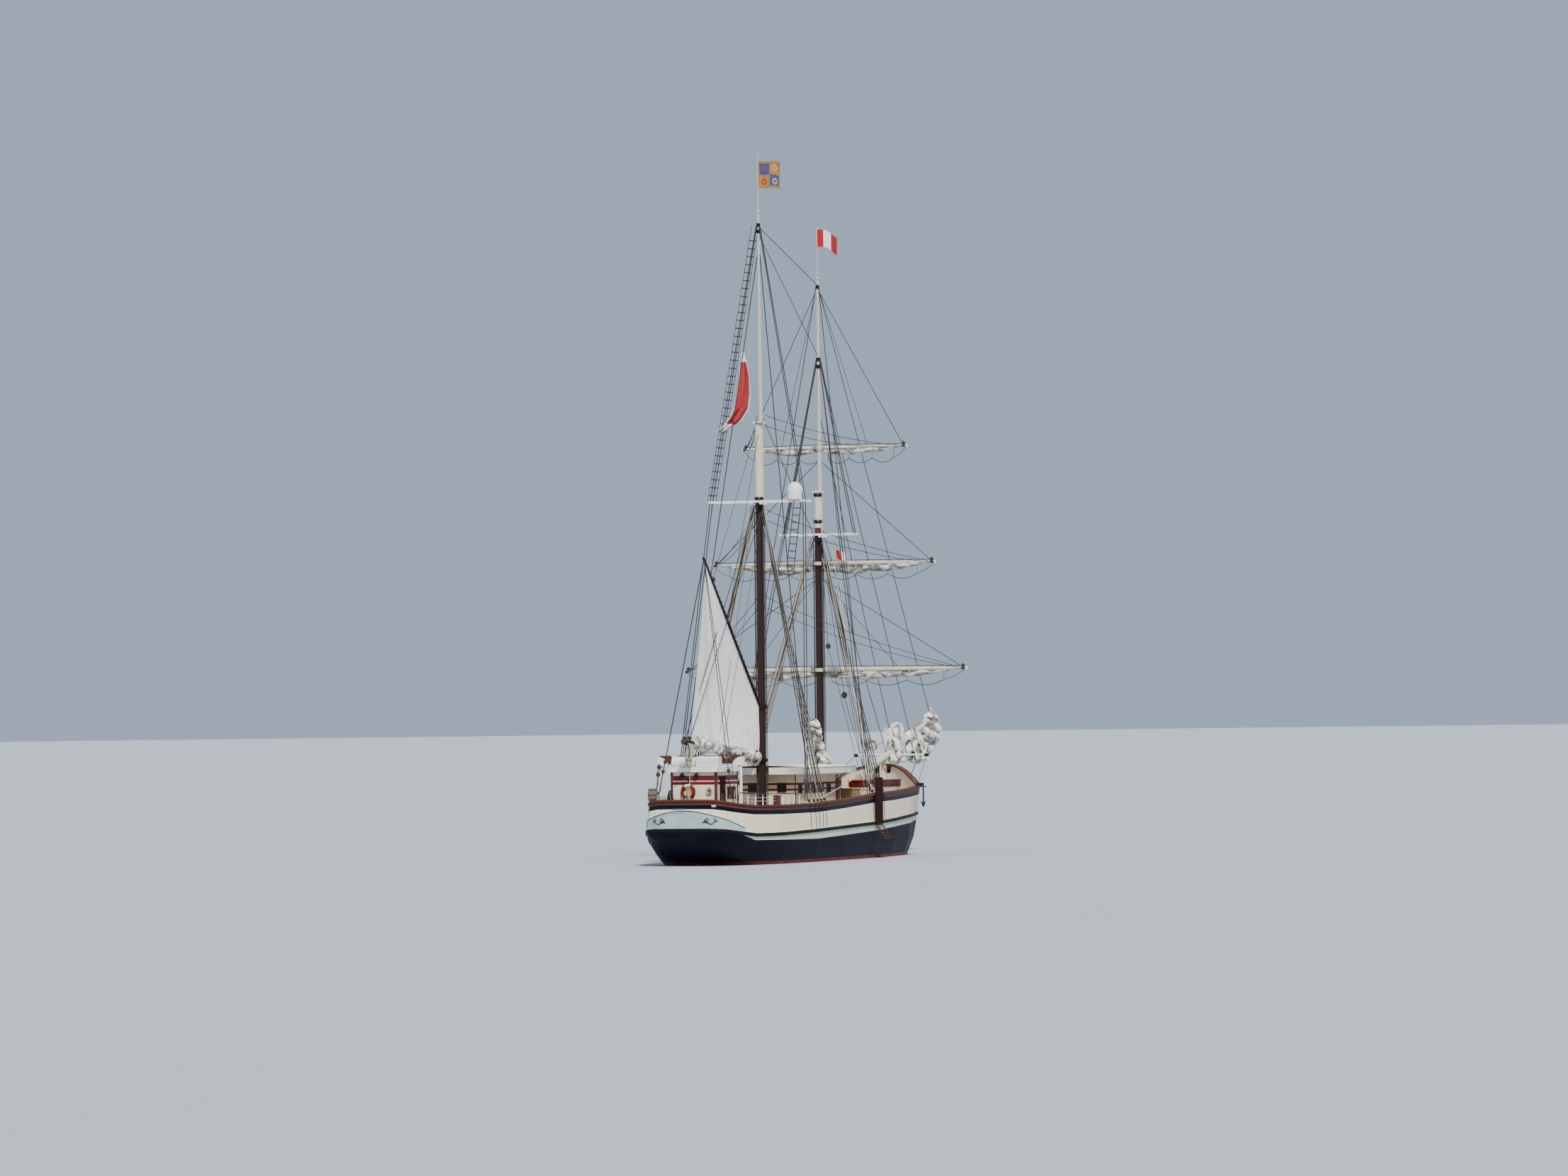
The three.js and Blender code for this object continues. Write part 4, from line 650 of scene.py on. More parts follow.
def bundle(name, axis, section, folds, look, body="ship", seed=1, replaces=(), steps=110,
           around=40, up=UP, grain=(3.0, 0.9, 3.0), stack=0.0):
    """A furled sail: one cloth that zigzags inside the roll and then wraps once round it.
    axis(u) is the roll's middle, section(u) its (half breadth, half depth).
    grain sets how the folds run."""
    inner = folds * 2
    proud = []

    def at(u, v):
        centre = Vector(axis(u))
        ahead = (Vector(axis(min(1, u + 0.01))) - Vector(axis(max(0, u - 0.01)))).normalized()
        across = ahead.cross(Vector(up)).normalized()
        upward = across.cross(ahead).normalized()
        half_wide, half_deep = section(u)
        place = v * (inner + around)
        if place < inner:
            fold = floor(place)
            side = (1 if fold % 2 else -1) * (2 * (place - fold) - 1) * 0.6
            # The inner zigzag counts as sunk, so the canvas finish gives it painted shade
            proud.append(-0.3)
            return centre + across * half_wide * (place / inner - 0.5) + upward * half_deep * side
        angle = TURN * 1.06 * (place - inner) / around + 0.4
        reach = across * half_wide * cos(angle) + upward * half_deep * sin(angle)
        swell = crumple(centre + reach, grain, seed)
        if stack:
            swell += 0.34 * (abs(sin(pi * (centre.z / stack + 0.16 * sin(2 * angle + seed)))) - 0.62)
        proud.append(swell)
        return centre + reach * (1 + swell)

    obj = piece(name, [surface(steps, inner + around, at)], look, body)
    # proud: how far the cloth stands out, which the canvas finish turns into painted shade in the hollows
    obj.data.attributes.new("proud", "FLOAT", "POINT").data.foreach_set("value", proud)
    if replaces:
        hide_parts(*replaces)


# [name, height, length, radius, x of the yard, roll's depth, the sail's cut breadth and depth]
YARDS = [
    ("course", 9.15, 14.7, 0.135, 5.4, 0.42, (12.6, 4.2)),
    ("topsail", 14.35, 11.6, 0.115, 5.4, 0.47, (10.0, 4.0)),
    ("topgallant", 20.05, 8.6, 0.095, 5.73, 0.33, (7.4, 3.6)),
]
YARD_TAPER, SAIL_REACH = 0.45, 0.86
ROLL_HALF = [(0.0, 0.6), (0.12, 0.72), (0.33, 0.98), (0.6, 0.72), (0.86, 0.16)]


def furl(name, height, length, radius, x, depth, cut):
    """A square sail rolled up under its yard, with the yard's gaskets, jackstay and arms."""
    half, body = length / 2, f"{name}_yard"

    def spar(share):
        return radius * (1 - YARD_TAPER * abs(share))

    def thick(u):
        return depth * between(ROLL_HALF, abs(2 * u - 1) * SAIL_REACH) * (1 + 0.12 * sin(19 * u))

    def roll_axis(u):
        along = (2 * u - 1) * SAIL_REACH
        return x + 0.04, along * half, height - spar(along) - thick(u) / 2 + 0.02

    bundle(f"{name}_furled", roll_axis, lambda u: (0.13 + 0.22 * thick(u), thick(u) / 2), 10, "square",
           body, len(name), [f"{name}_sail"], 150, grain=(3.6, 1.5, 3.6))
    gaskets, arms = [], []
    for i in range(-5, 6):
        share = i / 6.6
        deep = depth * between(ROLL_HALF, abs(share))
        ring = []
        for a in turns(14):
            over = sin(a) > 0
            wide = spar(share) + 0.02 if over else 0.16 + 0.25 * deep
            high = spar(share) + 0.015 if over else deep + spar(share) * 0.4
            ring.append(Vector((x + 0.02 + wide * cos(a), share * half, height + high * sin(a))))
        gaskets += [tube([p + Vector((0, shift, 0)) for p in ring], 0.014, 5, closed=True)
                    for shift in (0, 0.035)]
    tops = [Vector((x + 0.05, i / 10.5 * half, height + spar(i / 10.5))) for i in range(-10, 11)]
    jack = [bar(top - Vector((0, 0, 0.02)), top + Vector((0, 0, 0.07)), 0.012, 5) for top in tops]
    jack.append(tube([top + Vector((0, 0, 0.06)) for top in tops], 0.014, 5))
    end = radius * 0.62
    for side in BOTH:
        tip = side * half
        arms.append(turned([(0.02, -0.3), (end, -0.3), (end, -0.24), (radius * 0.57, -0.24)],
                           (x, tip, height), (0, side, 0)))
        arms.append(box(x - end, x + end, tip - side * 0.06, tip + side * 0.005, height - end, height + end))
    piece(f"{name}_gaskets", gaskets, "rope", body)
    piece(f"{name}_jackstay", jack, "iron", body)
    piece(f"{name}_yardarms", arms, "white", body, bevel=0.01)


for row in YARDS:
    furl(*row)


# Bunched sails on the boom, the bowsprit and at the foremast's foot
def foot_axis(u):
    x = -12.92 + 8.84 * u
    return x, -0.05 + 0.02 * sin(7 * u), between(BOOM_LINE, x) + 0.02 + 0.02 * sin(17 * u)


def foot_section(u):
    swell = min(1.0, 5 * u + 0.4, 8 * (1 - u) + 0.45) * (1 + 0.12 * sin(13 * u) + 0.08 * sin(29 * u + 1))
    return (0.27 + 0.07 * u) * swell, (0.27 + 0.06 * u) * swell


# The reefed foot of the mainsail, bunched over the boom
bundle("reefed_foot", foot_axis, foot_section, 5, "furled", "boom_and_gaff", 5,
       ["reefed_sail"], 150, grain=(1.7, 2.4, 2.4))
boom_ties = []
for i in range(9):
    centre = Vector(foot_axis((i + 0.6) / 9))
    wide, deep = (1.02 * half for half in foot_section((i + 0.6) / 9))
    ring = [centre + Vector((0.015 * sin(a * 3), wide * cos(a), deep * sin(a))) for a in turns(18)]
    boom_ties.append(tube(ring, 0.013, 5, closed=True))
piece("boom_ties", boom_ties, "rope", "boom_and_gaff")

# Headsails let down their stays on to the bowsprit, as rows of (x, y, height, half breadth, half length),
# each with its name, seed, cut, grain of the folds and height of the stacked folds
HEADSAILS = [
    ("inner_jib", 3, (4.4, 6.4), (2.1, 2.6, 1.1), 0.0, [
        (15.4, -0.1, 4.42, 0.12, 0.3), (15.4, -0.1, 4.6, 0.36, 0.8), (15.5, -0.08, 5.15, 0.38, 0.88),
        (15.75, -0.04, 5.6, 0.3, 0.62), (15.95, -0.02, 6.1, 0.28, 0.46), (16.0, 0.0, 6.42, 0.22, 0.32),
        (16.0, 0.0, 6.55, 0.06, 0.1)]),
    ("middle_jib", 8, (4.8, 6.8), (2.1, 2.6, 1.1), 0.0, [
        (18.2, -0.3, 4.42, 0.1, 0.3), (18.2, -0.28, 4.62, 0.44, 0.9), (18.3, -0.16, 5.3, 0.44, 0.95),
        (18.3, -0.05, 5.9, 0.28, 0.62), (18.3, 0.0, 6.3, 0.2, 0.4), (18.3, 0.0, 6.55, 0.07, 0.12)]),
    ("outer_jib", 13, (4.4, 6.2), (1.9, 2.2, 1.9), 0.5, [
        (19.6, -0.1, 4.75, 0.1, 0.2), (19.75, -0.12, 4.95, 0.26, 0.45), (20.2, -0.16, 5.5, 0.36, 0.62),
        (20.75, -0.16, 6.1, 0.44, 0.7), (21.1, -0.1, 6.6, 0.38, 0.5), (21.2, -0.05, 7.0, 0.2, 0.26),
        (21.25, 0.0, 7.25, 0.06, 0.08)]),
]


def headsail(name, seed, cut, grain, stack, rows):
    """One headsail as a stack of folds round its stay, and its ties."""
    far = [0.0]
    for a, b in zip(rows, rows[1:]):
        far.append(far[-1] + (Vector(b[:3]) - Vector(a[:3])).length)
    table = [(d / far[-1], *row) for d, row in zip(far, rows)]

    def axis(u):
        return tuple(between(table, u, column) for column in (1, 2, 3))

    def section(u):
        return between(table, u, 4), between(table, u, 5)

    bundle(name + "_furled", axis, section, 6, "furled", seed=seed, around=72,
           up=(1, 0, 0), grain=grain, stack=stack)
    ties = []
    for share in (0.35, 0.62, 0.84):
        wide, deep = (0.86 * half for half in section(share))
        ring = [Vector(axis(share)) + Vector((deep * cos(a), wide * sin(a), 0.05 * sin(2 * a)))
                for a in turns(24)]
        ties.append(tube(ring, 0.014, 5, closed=True))
    return ties


piece("headsail_ties", [tie for row in HEADSAILS for tie in headsail(*row)], "rope")
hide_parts("furled_headsails")


def jib_flap(u, v):
    """The inner jib's clew, which hangs flat beside the bundle."""
    ripple = 0.025 * sin(7 * u + 4 * v)
    return 15.0 - 0.16 * u - 0.1 * v, 0.32 - 0.46 * u + ripple, 6.3 - 1.2 * (1 - v) - 0.06 * u


clew = piece("inner_jib_clew", [surface(14, 26, jib_flap)], "sail")

# The main staysail, let down round its stay behind the foremast's foot
STAYSAIL_LINE = [(3.6, -0.01, 6.72), (3.76, -0.02, 6.35), (3.96, -0.09, 5.8), (4.06, -0.16, 5.25),
                 (4.08, -0.33, 4.8), (4.05, -0.7, 4.55)]
STAYSAIL_HALF = [(0, 0.14), (0.16, 0.3), (0.42, 0.3), (0.58, 0.2), (0.8, 0.32), (0.93, 0.28), (1, 0.12)]


def staysail_axis(u):
    place = min(0.9999, u) * (len(STAYSAIL_LINE) - 1)
    i = int(place)
    return Vector(STAYSAIL_LINE[i]).lerp(Vector(STAYSAIL_LINE[i + 1]), place - i)


def staysail_section(u):
    wide = between(STAYSAIL_HALF, u) * (1 + 0.1 * sin(25 * u))
    return wide, wide * 0.95


bundle("staysail_furled", staysail_axis, staysail_section, 5, "furled",
       seed=21, replaces=["furled_staysail"], around=64, up=(1, 0, 0.2), grain=(2.0, 2.0, 2.0),
       stack=0.4)


# Standing rigging
def deadeye(centre, along):
    across = Vector((1, 0, 0)) if abs(along[0]) < 0.9 else Vector((0, 1, 0))
    rim = [(0.0255, -0.04), (0.0782, -0.04), (0.085, -0.02), (0.0731, 0), (0.085, 0.02), (0.0782, 0.04),
           (0.0255, 0.04)]
    return turned(rim, centre, Vector(along).cross(across).normalized(), 14)


def block_shape(centre, along, size):
    """A wooden block: two cheeks round a sheave."""
    side = Vector(along).normalized().cross(Vector((0.3, 1, 0.1))).normalized()
    cheek = [(0.02, -0.055), (size * 0.55, -0.05), (size * 0.62, -0.02), (size * 0.62, 0.02),
             (size * 0.55, 0.05), (0.02, 0.055)]
    return turned(cheek, centre, side)


def rungs(left, right, low, high, spacing, radius=0.014):
    """Ratlines between two wires, each a (foot, head) pair, from one height to another."""
    shapes = []
    for i in range(int((high - low) / spacing) + 1):
        z = low + i * spacing
        ends = [foot.lerp(head, (z - foot.z) / (head.z - foot.z)) for foot, head in (left, right)]
        shapes.append(sagged(*ends, radius, 0.012, 3))
    return shapes


# Heights of the crosstrees' ends and of the topmast shrouds' heads
MAIN_CROSS, MAIN_HEAD, FORE_CROSS, FORE_HEAD = 17.22, 30.35, 15.82, 24.3
# How far up a shroud its two deadeyes sit
LOW_EYE, HIGH_EYE = 0.12, 0.56
# [mast, its x, radius at the head, hounds, feet aft of the mast, backstay's foot, its top, topmast's x]
SHROUDS = [
    ("main", MAIN_X, 0.165, 17.15, (0.7, 1.15, 1.6, 2.05), 2.6, 29.0, MAIN_TOP_X),
    ("fore", FORE_X, 0.16, 15.75, (0.75, 1.15, 1.55), 2.4, 24.3, FORE_TOP_X),
]


def shrouds(side_name, side, mast, mast_x, head_radius, hounds, feet, back_foot, back_top, top_x):
    """One side's shrouds and backstay of a mast, with deadeyes, lanyards, ratlines and chainplates."""
    wires, eyes, lanyards, ratlines, plates, pairs = [], [], [], [], [], []
    for back in (*feet, back_foot):
        x = mast_x - back
        foot = rail_at(x, side, 0.04)
        top = Vector((mast_x - 0.06, side * (head_radius + 0.04), hounds - 0.17))
        if back == back_foot:
            top = Vector((top_x, side * 0.06, back_top))
        along = (top - foot).normalized()
        low_eye, high_eye = foot + along * LOW_EYE, foot + along * HIGH_EYE
        wires += [bar(foot + along * 0.62, top, 0.023), bar(foot + along * 0.62, foot + along * 0.9, 0.032)]
        eyes += [deadeye(low_eye, along), deadeye(high_eye, along)]
        shifts = [Vector((shift, 0, 0)) for shift in (-0.045, 0, 0.045)]
        lanyards += [bar(low_eye + shift, high_eye + shift, 0.009, 5) for shift in shifts]
        wale = hull_at(WALE, x) + 0.08
        outside = [Vector((x, side * (side_half(x, z) + 0.012), z))
                   for z in (wale + 0.02, (wale + foot.z) / 2, foot.z - 0.1)]
        over = foot + Vector((0, side * 0.11, -0.02))
        plates += [tube(outside, 0.014), bar(outside[-1], over, 0.015), bar(over, low_eye, 0.015)]
        pairs.append((foot, top))
    for a, b in zip(pairs[:-2], pairs[1:-1]):
        ratlines += rungs(a, b, a[0].z + 1.0, hounds - 1.6, 0.4)
    pole = [foot + (top - foot).normalized() * 0.68 for foot, top in pairs]
    end = Vector((0.12, 0, 0))
    ratlines.append(tube([pole[0] + end, *pole, pole[-1] - end], 0.022))
    collar = [turned([(0.14, -0.05), (0.185, -0.04), (0.19, 0), (0.185, 0.04), (0.14, 0.05)],
                     (mast_x, 0, hounds - 0.2 - 0.06 * i), UP, 16) for i in range(3)]
    wires = piece(f"{mast}_shroud_wires_{side_name}", wires + collar, "wire")
    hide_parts(f"{mast}_shrouds_{side_name}")
    piece(f"{mast}_deadeyes_{side_name}", eyes, "block", bevel=0.006)
    piece(f"{mast}_lanyards_{side_name}", lanyards, "rope")
    piece(f"{mast}_ratlines_{side_name}", ratlines, "wire")
    piece(f"{mast}_chainplates_{side_name}", plates, "iron")


for row in SHROUDS:
    for side_name, side in SIDES.items():
        shrouds(side_name, side, *row)


def topmast_rigging():
    """Topmast shrouds over the crosstrees' ends and on to the rail, with the port side's ladders."""
    ladders, backstays = [], []

    def pair(x, y, z, top_x, top_y, top_z):
        return Vector((x, side * y, z)), Vector((top_x, side * top_y, top_z))

    for side in BOTH:
        for shift in (-0.12, 0.22):
            tip, top = pair(MAIN_X - 0.23 + shift, 2.36, MAIN_CROSS,
                            MAIN_TOP_X - 0.05 + shift * 0.3, 0.08, MAIN_HEAD)
            rail = rail_at(-6.5 + shift * 0.8, side, 0.05, 0.1)
            backstays += [bar(tip, top, 0.022), bar(rail, tip, 0.022),
                          turned([(0.02, -0.2), (0.05, -0.12), (0.055, 0.1), (0.02, 0.2)],
                                 rail + (tip - rail).normalized() * 0.9, tip - rail, 10)]
        if side > 0:
            left = pair(MAIN_X - 0.5, 2.42, MAIN_CROSS, MAIN_TOP_X - 0.32, 0.22, MAIN_HEAD)
            right = pair(MAIN_X + 0.2, 2.28, MAIN_CROSS, MAIN_TOP_X + 0.2, 0.06, MAIN_HEAD)
            ladders += rungs(left, right, 17.5, 29.9, 0.38, 0.026) + [bar(*left, 0.013), bar(*right, 0.013)]
        for shift in (-0.14, 0.2):
            backstays.append(bar(*pair(FORE_X + 0.2 + shift, 1.8, FORE_CROSS,
                                       FORE_TOP_X + shift * 0.3, 0.1, FORE_HEAD), 0.022))
        if side > 0:
            left = pair(FORE_X + 0.06, 1.8, FORE_CROSS, FORE_TOP_X - 0.04, 0.1, FORE_HEAD)
            right = pair(FORE_X + 0.4, 1.8, FORE_CROSS, FORE_TOP_X + 0.06, 0.1, FORE_HEAD)
            ladders += rungs(left, right, 16.2, 23.6, 0.38, 0.02)
        # Royal backstays of the foremast, straight to the rail
        for rail_x, z in ((1.9, 27.9), (1.6, FORE_HEAD)):
            backstays.append(bar(rail_at(rail_x, side, 0.05), (FORE_TOP_X, side * 0.07, z), 0.02))
    # Ladder from under the radome down towards the lower shrouds
    left = pair(MAIN_X - 0.7, 1.62, 13.9, MAIN_X - 0.65, 2.02, 17.2)
    right = pair(MAIN_X + 0.3, 1.62, 13.9, MAIN_X + 0.35, 2.02, 17.2)
    ladders += rungs(left, right, 14.1, 17.1, 0.34, 0.024) + [bar(*left, 0.02), bar(*right, 0.02)]
    piece("topmast_ladders", ladders, "wire")
    piece("topmast_backstays", backstays, "wire")


topmast_rigging()

# Halyards beside the masts and their falls to the rails,
# as (mast, radius, foot, head, first fall at the rail)
FALLS = [(MAIN_X, 0.2, 2.4, 17.0, -1.0), (FORE_X, 0.195, 2.6, 15.6, -1.95)]


def falls():
    dark, pale, coils = [], [], []
    for mast_x, radius, foot, head, first in FALLS:
        for side in BOTH:
            for k, x in enumerate((-0.1, 0.0, 0.1)):
                y = side * (radius + 0.035 + 0.012 * k)
                dark.append(bar((mast_x + x, y, foot),
                                (mast_x + x * 0.7, y - side * 0.01, head - 0.3 * k), 0.016, 5))
            for k in range(9):
                x = mast_x + first + 0.12 * k - 0.3
                end = rail_at(x, side, 0.16 + 0.03 * (k % 3), 0.05)
                y = side * (radius + 0.05 + 0.05 * (k % 3))
                start = (mast_x - 0.22 + 0.03 * (k % 4), y, head - 0.25 * (k % 5))
                (pale if k % 3 else dark).append(sagged(end, start, 0.016, 0.05, 6))
                if k % 2 == 0:
                    spot = rail_at(x, side, 0.2, -0.12)
                    coils += [hoop(spot + Vector((0.01 * t, side * -0.02 * t, -0.02 * t)), (0.2 * t, 1, 0.1),
                                   0.13 + 0.01 * t, 0.016, 14, 5) for t in range(4)]
    piece("mast_falls", dark, "wire")
    piece("pale_falls", pale, "rope")
    spot = Vector((FORE_X - 0.45, -2.86, 5.4))
    coils += [hoop(spot + Vector((0.03 * sin(t), 0.03 * cos(2 * t), 0.01 * t)), (1, 0.4 * sin(t), 0.2),
                   0.2 + 0.01 * t, 0.022, 18, 5) for t in range(7)]
    piece("rail_coils", coils, "rope")
    lines = [sagged((-4.83, -3.42, 3.0), (13.06, -0.25, 4.66), 0.022, 0.05, 10, 6)]
    lines += [sagged((x, -3.38, 3.2), (FORE_X + 0.05, y, 15.74), 0.015, 0.0, 10, 6)
              for x, y in ((2.5, -0.75), (2.2, -0.6))]
    piece("pale_lines", lines, "white_rope")


falls()

# Blocks hung from the foremast's head, as (x, y, height, size, x and y of the line's foot)
HUNG = [(FORE_X - 0.3, -0.57, 10.3, 0.22, 2.75, -2.9), (FORE_X - 0.8, -1.55, 7.9, 0.26, 3.05, -3.1),
        (FORE_X - 0.25, -0.5, 14.2, 0.18, 2.9, -3.0), (FORE_X - 0.25, 0.5, 14.0, 0.18, 2.9, 3.0)]


def hung_blocks():
    piece("mast_blocks", [block_shape((x, y, z), UP, size) for x, y, z, size, *foot in HUNG], "block")
    straps = []
    for x, y, z, size, foot_x, foot_y in HUNG:
        straps += [bar((x, y, z + 0.05), (FORE_X - 0.12, copysign(0.2, y), 15.3), 0.014, 5),
                   bar((x, y, z - 0.05), (foot_x, foot_y, 3.3), 0.014, 5)]
    piece("mast_block_straps", straps, "wire")


hung_blocks()

# Iron bands, as (x, radius, height)
MAST_BANDS = [(MAIN_X, 0.19, 20.95), (MAIN_X, 0.195, 17.3), (FORE_X, 0.185, 17.7), (FORE_X, 0.19, 16.4)]
TOPMAST_BANDS = [(MAIN_TOP_X, 0.065, 30.4), (MAIN_TOP_X, 0.068, 30.1), (FORE_TOP_X, 0.085, 24.35),
                 (FORE_TOP_X, 0.09, 24.0), (FORE_TOP_X, 0.065, 27.9)]


def mast_bands():
    bands = [turned([(r * 0.7, -0.09), (r, -0.08), (r + 0.035, 0), (r, 0.08), (r * 0.7, 0.09)],
                    (x, 0, z), UP, 18) for x, r, z in MAST_BANDS]
    bands += [turned([(r, -0.09), (r + 0.03, -0.08), (r + 0.035, 0.08), (r, 0.09)], (x, 0, z), UP, 14)
              for x, r, z in TOPMAST_BANDS]
    piece("mast_bands", bands, "black")


mast_bands()


def radome_seam():
    dome = NODES["radome"]
    corners = [dome.matrix_world @ Vector(c) for c in dome.bound_box]
    x, y = (sum(c[k] for c in corners) / 8 for k in (0, 1))
    low = min(c.z for c in corners)
    reach = dome.dimensions.x / 2
    seam = [(reach - 0.02, -0.02), (reach + 0.006, -0.012), (reach + 0.006, 0.012), (reach - 0.02, 0.02)]
    foot = [(0.12, -0.03), (0.24, -0.03), (0.26, 0.0), (0.24, 0.04), (0.12, 0.04)]
    piece("radome_seam", [turned(seam, (x, y, low + 0.36), UP, 28), turned(foot, (x, y, low + 0.02), UP, 24)],
          "white")


radome_seam()


# The bowsprit's heel and its rise over each metre forward
SPRIT_X, SPRIT_Z, SPRIT_RISE = 14.0, 4.8, 0.26


def sprit_at(x, drop=0.0):
    return SPRIT_Z + SPRIT_RISE * (x - SPRIT_X) - drop


# Bobstay, and the bowsprit's shrouds over the spreader's ends
SPREADER_X = 15.1
stays = [bar((14.25, 0, 0.55), (21.3, 0, sprit_at(21.3, 0.08)), 0.02)]
for side in BOTH:
    spreader = (SPREADER_X, side * 1.88, sprit_at(SPREADER_X, 0.19))
    stays += [bar(spreader, (21.2, side * 0.08, sprit_at(21.2)), 0.015),
              bar((11.4, side * (side_half(11.4, 3.2) + 0.01), 3.2), spreader, 0.015)]
piece("bowsprit_stays", stays, "wire")
end_cap = [(0.02, -0.1), (0.075, -0.09), (0.085, 0.0), (0.075, 0.12), (0.02, 0.14)]
piece("spreader_ends", [turned(end_cap, (SPREADER_X, side * 1.86, sprit_at(SPREADER_X, 0.2)), (0, side, 0))
                        for side in BOTH], "black")


def turning_lines(name, body, lines, blocks=(), look="wire"):
    """Ropes from the ship to a turning spar, baked in place, with blocks that ride on the spar."""
    ropes = piece(name, [sagged(*line, 14) for line in lines], look, ride=False)
    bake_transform(ropes)
    if blocks:
        piece(name + "_blocks", [block_shape(*block) for block in blocks], "block", body)


# Where each yard's lifts start on the mast, and where its braces lead aft, as (x, height)
LIFT_HEADS = {"course": (FORE_X + 0.2, 13.6), "topsail": (FORE_TOP_X, 19.3), "topgallant": (FORE_TOP_X, 27.6)}
AFT_LEADS = {"course": (MAIN_X + 0.25, 12.6), "topsail": (MAIN_X + 0.25, 16.8),
             "topgallant": (MAIN_TOP_X + 0.1, 21.3)}


def yard_lines(name, height, length, radius, x, *sail):
    """A yard's lifts, braces and footropes."""
    half, body = length / 2, f"{name}_yard"
    head_x, head_z = LIFT_HEADS[name]
    aft_x, aft_z = AFT_LEADS[name]
    lifts, braces, foot = [], [], []
    for side in BOTH:
        head, lead = (head_x, side * 0.12, head_z), (aft_x, side * 0.2, aft_z)
        lifts.append((head, (x, side * (half - 0.22), height + 0.06), 0.018, 0.0))
        if name != "topsail":
            lifts.append((head, (x, side * half * 0.52, height + 0.08), 0.014, 0.0))
        end = side * (half - 0.18)
        braces += [(lead, (x, end, height), 0.015, 0.25),
                   ((aft_x, side * 0.2, aft_z - 0.5), (x, end, height - 0.03), 0.015, 0.35)]
        stops = [side * half * share for share in (0.05, 0.3, 0.58, 0.84)]
        low = [Vector((x - 0.08, stop, height - 0.55)) for stop in stops]
        foot += [sagged(a, b, 0.017, 0.24) for a, b in zip(low, low[1:])]
        foot.append(sagged(low[-1], (x, side * half * 0.985, height - 0.05), 0.013, 0.08, 6))
        foot += [bar((x - 0.05, stop, height - 0.05), (x - 0.08, stop, height - 0.56), 0.01, 5)
                 for stop in stops]
    turning_lines(f"{name}_lifts", body, lifts,
                  [((x, side * (half - 0.2), height + 0.14), (0, side, 0.8), 0.14) for side in BOTH])
    turning_lines(f"{name}_braces", body, braces,
                  [((x - 0.12, side * (half - 0.16), height), (1, 0, 0.2), 0.14) for side in BOTH])
    piece(f"{name}_footropes", foot, "wire", body)


for row in YARDS:
    yard_lines(*row)

topping = [((MAIN_X - 0.1, side * 0.24, 16.9), (-13.5, side * 0.1, 5.82), 0.02, 0.0) for side in BOTH]
topping += [((MAIN_X - 0.1, side * 0.24, 16.9), (-9.2, side * 0.12, between(BOOM_LINE, -9.2) + 0.05),
             0.011, 0.1) for side in BOTH]
turning_lines("topping_lifts", "boom_and_gaff", topping,
              [((-13.45, side * 0.12, 5.95), (-0.6, 0, 0.8), 0.15) for side in BOTH])
peak = [((MAIN_X - 0.2, 0.05, 20.6), (-9.9, 0.02, 13.25)), ((MAIN_X - 0.2, -0.05, 20.3), (-8.0, -0.02, 11.5)),
        ((MAIN_X - 0.2, 0.0, 17.0), (-8.1, 0.02, 11.6)), ((MAIN_X - 0.22, -0.1, 16.6), (-4.3, -0.03, 8.1))]
turning_lines("peak_halyards", "boom_and_gaff", [(*line, 0.013, 0.0) for line in peak],
              [((-9.85, 0, 13.35), (0.65, 0, 0.75), 0.19), ((-8.0, 0, 11.65), (0.65, 0, 0.75), 0.19),
               ((-4.35, 0, 8.2), (0.1, 0, 1), 0.19)])
VANGS = [((-12.6, side * 1.85, 3.05), (-11.05, 0, 14.3)) for side in BOTH]
BACK_VANGS = [((-12.3, side * 1.95, 3.05), (-11.0, side * 0.02, 14.22)) for side in BOTH]
turning_lines("gaff_vangs", "boom_and_gaff", [(*line, 0.019, 0.0) for line in VANGS + BACK_VANGS])
vangs = [(Vector(foot), Vector(top), share) for share, lines in ((0.12, VANGS), (0.16, BACK_VANGS))
         for foot, top in lines]
piece("vang_blocks", [block_shape(foot.lerp(top, share), top - foot, 0.14) for foot, top, share in vangs],
      "block")
sheet = [((-13.2, side * 0.1, 4.6), (-13.1, side * 0.05, 5.6), 0.014, 0.0) for side in BOTH]
turning_lines("mainsheet", "boom_and_gaff", sheet + [((-13.25, 0.0, 3.1), (-13.1, 0.02, 5.6), 0.014, 0.0)],
              [((-13.1, 0, 5.5), UP, 0.18)], "rope")


# The stern's name board, left blank, with its scrolls: a real board, whose teal tone is painted shade and
# painted reflection of the sea from under the stern's overhang
STERN_CURVE = (0, 0.13, 0.4, 1.0, 1.6, 2.4, 3.5)
# [distance round from the centreline, the board's top]
BOARD_TOP = [(0.0, 2.57), (0.6, 2.53), (1.2, 2.4), (1.8, 2.22), (2.25, 2.08), (2.8, 1.88), (3.25, 1.74)]
BOARD_REACH, BOARD_THICK = BOARD_TOP[-1][0], 0.028


def stern_at(way, z, out=0.0):
    """A place on the stern's outside, so many metres round from the centreline, port positive."""
    line = [Vector((TRANSOM, 0))] + [Vector((TRANSOM + s, side_half(TRANSOM + s, z))) for s in STERN_CURVE]
    left = abs(way)
    for a, b in zip(line, line[1:]):
        length = (b - a).length
        if left <= length or b is line[-1]:
            break
        left -= length
    along = (b - a).normalized()
    place = a + along * left + Vector((-along.y, along.x)) * out
    return Vector((place.x, copysign(place.y, way), z))


def board_limits(u):
    """The place round the stern at a share of the board's length, with the board's foot and top there."""
    way = -BOARD_REACH + 2 * BOARD_REACH * u
    low = hull_at(WALE, stern_at(way, 1.7).x) + 0.08
    return way, low, max(between(BOARD_TOP, abs(way)), low + 0.004)


def board_front(u, v):
    way, low, high = board_limits(u)
    return stern_at(way, low + (high - low) * v, BOARD_THICK)


def board_edge(u, v):
    way, low, high = board_limits(u)
    return stern_at(way, high, BOARD_THICK * (1 - 1.3 * v))


